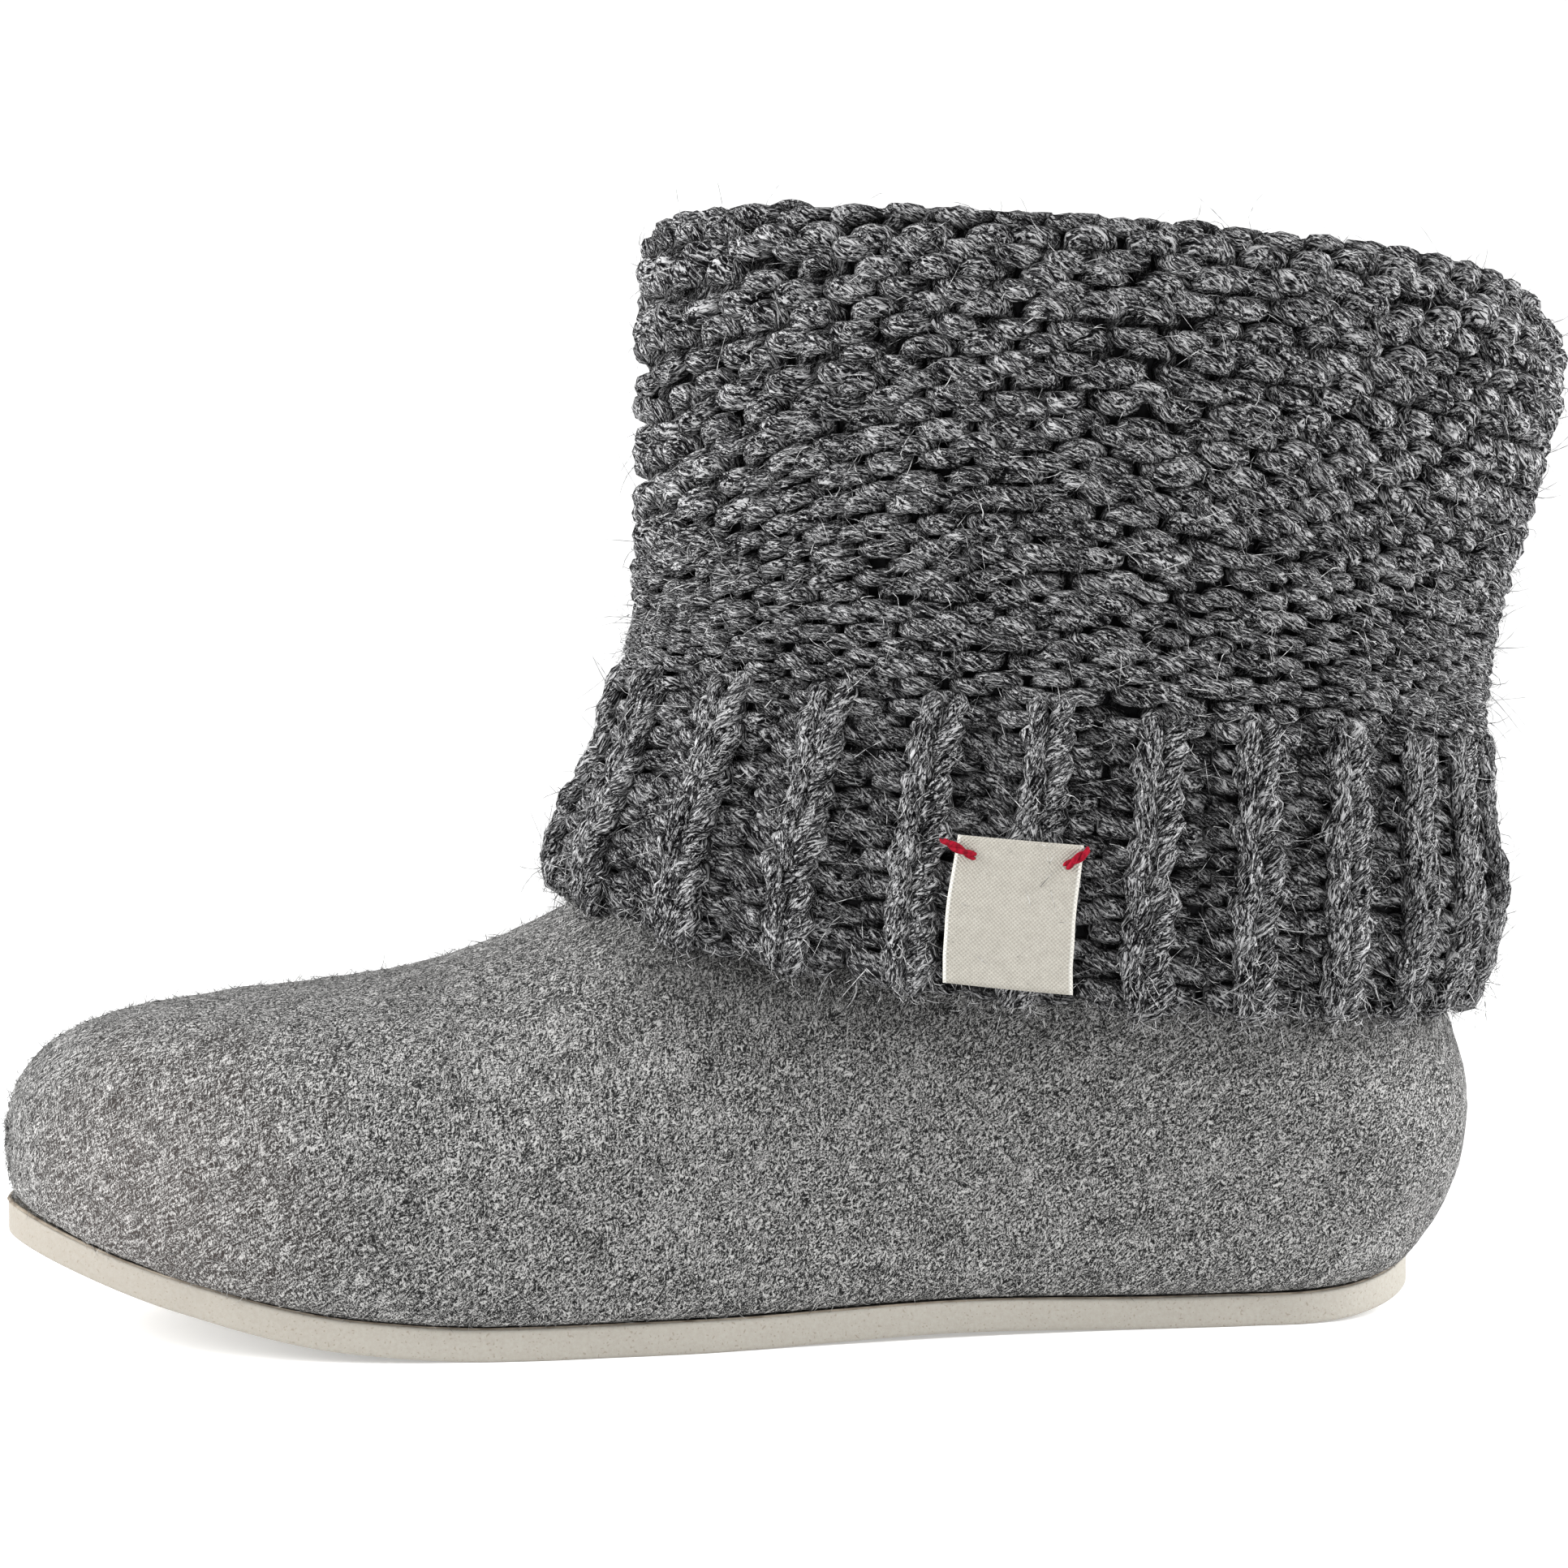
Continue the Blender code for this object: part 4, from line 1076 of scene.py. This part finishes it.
# Single fibres as closed three-sided tubes that taper to a point: each leaves its root along a direction and bends
# along a parabola.
def makeFibres(name, roots, directions, bends, lengths, thickness, material, rings):
    count = len(roots)
    steps = np.linspace(0, 1, rings + 1)
    spine = roots[:, None] + lengths[:, None, None] * (
        directions[:, None] * steps[None, :, None] + bends[:, None] * steps[None, :, None] ** 2)
    along = unit(np.gradient(spine, axis=1))
    side = unit(np.cross(along, bends[:, None] + 1e-4))
    up = np.cross(side, along)
    angle = 2 * math.pi * np.arange(3) / 3
    taper = thickness[:, None] * (1 - 0.65 * steps[None, :rings])
    ring = np.cos(angle)[:, None] * side[:, :rings, None] + np.sin(angle)[:, None] * up[:, :rings, None]
    tubes = spine[:, :rings, None] + taper[..., None, None] * ring
    points = np.concatenate([tubes.reshape(count, rings * 3, 3), spine[:, -1:]], axis=1)
    local = [(2, 1, 0)]
    for r in range(rings - 1):
        for k in range(3):
            a, b = 3 * r + k, 3 * r + (k + 1) % 3
            local += [(a, b, b + 3), (a, b + 3, a + 3)]
    last = 3 * (rings - 1)
    local += [(last + k, last + (k + 1) % 3, last + 3) for k in range(3)]
    faces = (np.arange(count) * points.shape[1])[:, None, None] + np.array(local)
    makePiece(name, points, faces.reshape(-1, 3), material)


# Stray fibres of the knit: roots spread over the strands, mostly on their outer face. Most lie along the strand,
# some stand off it, and all curl. More of them hang down from the two lowest rows of the hem.
knitHair = {"count": 9000, "hemCount": 3000, "length": (0.0018, 0.0080), "thickness": (0.00005, 0.00011)}


def makeKnitFibres():
    rng = np.random.default_rng(51)
    paths = np.concatenate([strands[0].reshape(-1, 3) for strands in outerStrands])
    normals = np.concatenate([strands[1].reshape(-1, 3) for strands in outerStrands])
    along = np.concatenate([unit(loopStep(strands[0], 1)).reshape(-1, 3) for strands in outerStrands])
    pick = rng.integers(0, len(paths), knitHair["count"])
    hemSize = outerStrands[0][0].shape[1] * 2
    pick = np.concatenate([pick, rng.integers(0, hemSize, knitHair["hemCount"])])
    atHem = (np.arange(len(pick)) >= knitHair["count"])[:, None]
    base, normal, tangent = paths[pick], normals[pick], along[pick]
    side = unit(np.cross(tangent, normal))
    angle = rng.normal(0, 0.7, len(pick))[:, None]
    out = np.cos(angle) * normal + np.sin(angle) * side
    roots = base + out * knit["radius"] * 0.95
    flip = rng.choice([-1, 1], len(pick))[:, None]
    spread = rng.normal(0, 0.35, (len(pick), 3))
    directions = unit(flip * tangent + spread + out * rng.uniform(0.2, 0.9, len(pick))[:, None])
    downward = unit(spread * 2.2 + 0.3 * normal + np.array([0.0, 0.0, -0.7]))
    directions = np.where(atHem, downward, directions)
    roots = roots + atHem * np.array([0.0, 0.0, -0.0010])
    bends = unit(rng.normal(0, 1, (len(pick), 3)) - 0.9 * out) * rng.uniform(0.5, 1.1, len(pick))[:, None]
    lengths = rng.uniform(0, 1, len(pick)) ** 1.3
    lengths = knitHair["length"][0] + (knitHair["length"][1] - knitHair["length"][0]) * lengths
    lengths = lengths * np.where(atHem[:, 0], 0.75, 1.0)
    thickness = rng.uniform(*knitHair["thickness"], len(pick))
    makeFibres("knitFibres", roots, directions, bends, lengths, thickness, lightWool, 3)


makeKnitFibres()

# Short fuzz of the felt, which lies nearly flat
feltHair = {"count": 14000, "length": (0.0009, 0.0030), "thickness": (0.00004, 0.00009)}


def makeFeltFibres():
    rng = np.random.default_rng(61)
    rows, columns = outsideFelt.shape[:2]
    i = rng.integers(1, rows - 1, feltHair["count"])
    j = rng.integers(int(columns * 0.06), int(columns * 0.94), feltHair["count"])
    base, normal = outsideFelt[i, j], feltNormals[i, j]
    spread = rng.normal(0, 1, base.shape)
    spread -= (spread * normal).sum(axis=1, keepdims=True) * normal
    directions = unit(unit(spread) + normal * rng.uniform(0.1, 1.0, len(base))[:, None])
    bends = unit(rng.normal(0, 1, base.shape) - 0.6 * normal) * rng.uniform(0.3, 0.9, len(base))[:, None]
    lengths = rng.uniform(*feltHair["length"], len(base))
    thickness = rng.uniform(*feltHair["thickness"], len(base))
    makeFibres("feltFibres", base, directions, bends, lengths, thickness, lightFelt, 2)


makeFeltFibres()

# The tape label hangs on the ribs: its middle's share of the way round, its sizes, how far its back stands off the
# ribs, and how its lower end and corners curl
label = {
    "round": knit["pressedAt"],
    "width": 0.0214,
    "length": 0.0252,
    "thickness": 0.00045,
    "drop": 0.0075,
    "stand": 0.0014,
    "curl": 0.0005,
    "cornerCurl": 0.0004,
    "columns": 24,
    "rows": 28,
}
labelStand = -shoe["feltWall"] / 2 + 1.5 * shoe["knitThickness"] + shoe["layerGap"] + label["stand"] + shoe["seatGap"]


# Point of the label's back at shares of its width and length, stand metres out from the ribs.
def labelPoint(across, down, stand):
    ring = cuffRing(0.0, labelStand, np.linspace(0, 1, 97))
    girth = np.linalg.norm(np.diff(ring, axis=0), axis=1).sum()
    turn = label["round"] + (across - 0.5) * label["width"] / girth
    drop = label["drop"] + label["length"] * down
    level = max(-drop / shoe["hemBackDrop"], -1.0)
    below = -drop - level * shoe["hemBackDrop"]
    return np.array([cuffRing(level, labelStand + s, np.array([u]), below)[0] for u, s in zip(turn, stand)])


def makeLabel():
    across = np.linspace(0, 1, label["columns"] + 1)
    rows = []
    for down in np.linspace(0, 1, label["rows"] + 1):
        curl = label["curl"] * down**2 + label["cornerCurl"] * (2 * across - 1) ** 2 * down
        rows.append(np.stack([labelPoint(across, down, curl + thick) for thick in (0.0, label["thickness"])]))
    grid = np.array(rows)
    back, face = grid[:, 0], grid[:, 1]
    start, end = (np.concatenate([back[i], back[i, ::-1]])[None] for i in (0, -1))
    rings = np.concatenate([start, np.concatenate([face, back[:, ::-1]], axis=1), end])
    faces = gridFaces(len(rings), rings.shape[1])
    u = np.concatenate([across, across[::-1]])
    v = np.concatenate([[0.0], np.linspace(0, 1, label["rows"] + 1), [1.0]])
    uvPoints = np.stack(np.broadcast_arrays(u[None], v[:, None]), axis=-1).reshape(-1, 2)
    piece = makePiece("labelTape", rings, faces, tape, ("label",), uvPoints[faces.ravel()])
    closeSeams(piece)


makeLabel()

# The stitches' height over the label, how far their ends dive into the knit, and their plies' radius and winding
stitchForm = {"stand": 0.0004, "arch": 0.0011, "dive": 0.0012, "radius": 0.00050, "wind": 0.00038}


# One red stitch over each top corner of the label: two plies that wind round a short path, which dives into
# the knit at both ends. Start and end are shares of the label's width and length.
def makeStitch(name, start, end):
    steps = np.linspace(0, 1, 21)
    arch = stitchForm["arch"] * np.sin(math.pi * steps) - stitchForm["dive"] * (2 * steps - 1) ** 8
    path = np.array([labelPoint(np.array([start[0] + (end[0] - start[0]) * s]), start[1] + (end[1] - start[1]) * s,
                                np.array([stitchForm["stand"] + a]))[0] for s, a in zip(steps, arch)])
    radius = stitchForm["radius"] * np.clip(1.15 - np.abs(2 * steps - 1) ** 4, 0.2, 1.0)
    along = unit(np.gradient(path, axis=0))
    side = unit(np.cross(along, np.array([0.0, 1.0, 0.0])))
    angle = 2.2 * math.pi * steps[:, None]
    wind = stitchForm["wind"] * (np.cos(angle) * side + np.sin(angle) * np.cross(side, along))
    plies = [closedEnds(tubeGrid(path + sign * wind, radius, 8, False)) for sign in (1, -1)]
    faces = np.concatenate([gridFaces(len(ply), 8, start=i * ply.size // 3) for i, ply in enumerate(plies)])
    closeSeams(makePiece(name, np.array(plies), faces, redThread))


makeStitch("redStitchFront", (-0.13, 0.04), (0.18, 0.145))
makeStitch("redStitchBack", (1.05, 0.02), (0.86, 0.16))
print("label made")

# Camera, fitted to the outline of the photographed slipper
view = {"yaw": 0.11413, "pitch": -0.01142, "roll": -0.00606, "distance": 0.68203, "target": (-0.00233, 0.0, 0.09827),
        "focalPixels": 4506.5, "framePixels": 1932, "sensor": 36.0}


def makeCamera():
    cameraData = bpy.data.cameras.new("photoCamera")
    camera = addObject("photoCamera", cameraData)
    cameraData.sensor_width = view["sensor"]
    cameraData.lens = view["focalPixels"] / view["framePixels"] * view["sensor"]
    cameraData.clip_start, cameraData.clip_end = 0.01, 50.0
    yaw, pitch, roll = view["yaw"], view["pitch"], view["roll"]
    forward = np.array([math.sin(yaw) * math.cos(pitch), math.cos(yaw) * math.cos(pitch), math.sin(pitch)])
    level = np.array([math.cos(yaw), -math.sin(yaw), 0.0])
    upright = np.cross(level, forward)
    right = math.cos(roll) * level + math.sin(roll) * upright
    up = -math.sin(roll) * level + math.cos(roll) * upright
    eye = np.array(view["target"]) - forward * view["distance"]
    rows = [(right[i], up[i], -forward[i], eye[i]) for i in range(3)]
    camera.matrix_world = Matrix(rows + [(0, 0, 0, 1)])
    bpy.context.scene.camera = camera


# The floor runs level behind the shoe, then bends up into a wall.
def makeStage():
    across = np.linspace(-4, 4, 9)
    bend, radius = np.linspace(0.15, 0.5 * math.pi, 12), 1.2
    run = np.concatenate([np.linspace(-3, 1.6, 8), 1.6 + radius * np.sin(bend), [2.8, 2.8]])
    rise = np.concatenate([np.zeros(8), radius * (1 - np.cos(bend)), [2.2, 4.0]])
    grid = np.stack(np.broadcast_arrays(across[None], run[:, None], rise[:, None]), axis=-1)
    index = np.arange(len(run) * 9).reshape(len(run), 9)
    faces = np.stack([index[:-1, :-1], index[:-1, 1:], index[1:, 1:], index[1:, :-1]], axis=-1).reshape(-1, 4)
    mesh = bpy.data.meshes.new("floor")
    mesh.from_pydata(grid.reshape(-1, 3).tolist(), [], faces.tolist())
    mesh.polygons.foreach_set("use_smooth", np.full(len(faces), True))
    made, _, shader, _ = newMaterial("paleFloor")
    setValues(shader, {"Base Color": (0.80, 0.80, 0.80, 1.0), "Emission Color": (1.0, 1.0, 1.0, 1.0),
                       "Emission Strength": 0.32, "Roughness": 0.9, "Specular IOR Level": 0.1})
    mesh.materials.append(made)
    floor = addObject("floor", mesh)


# Soft studio light: a bright even room, one large lamp above and in front, and one at each end
lamps = {
    "overhead": {"at": (-0.20, -0.30, 1.50), "size": 0.9, "power": 7.5},
    "toeSide": {"at": (-1.2, -0.25, 0.65), "size": 0.8, "power": 28.0},
    "heelSide": {"at": (1.2, -0.15, 0.60), "size": 0.8, "power": 26.0},
}


def makeLights():
    for name, lamp in lamps.items():
        data = bpy.data.lights.new(name, "AREA")
        data.size = lamp["size"]
        data.energy = lamp["power"]
        light = addObject(name, data)
        light.location = lamp["at"]
        towards = Vector((0, 0, 0.08)) - light.location
        light.rotation_euler = towards.to_track_quat("-Z", "Y").to_euler()
    world = bpy.data.worlds.new("paleRoom")
    world.use_nodes = True
    world.node_tree.nodes["Background"].inputs[0].default_value = (1.0, 1.0, 1.0, 1.0)
    world.node_tree.nodes["Background"].inputs[1].default_value = 0.58
    bpy.context.scene.world = world
    bpy.context.scene.view_settings.view_transform = "Standard"


makeCamera()
makeStage()
makeLights()
print("triangles in all:", sum(trianglesSoFar.values()))
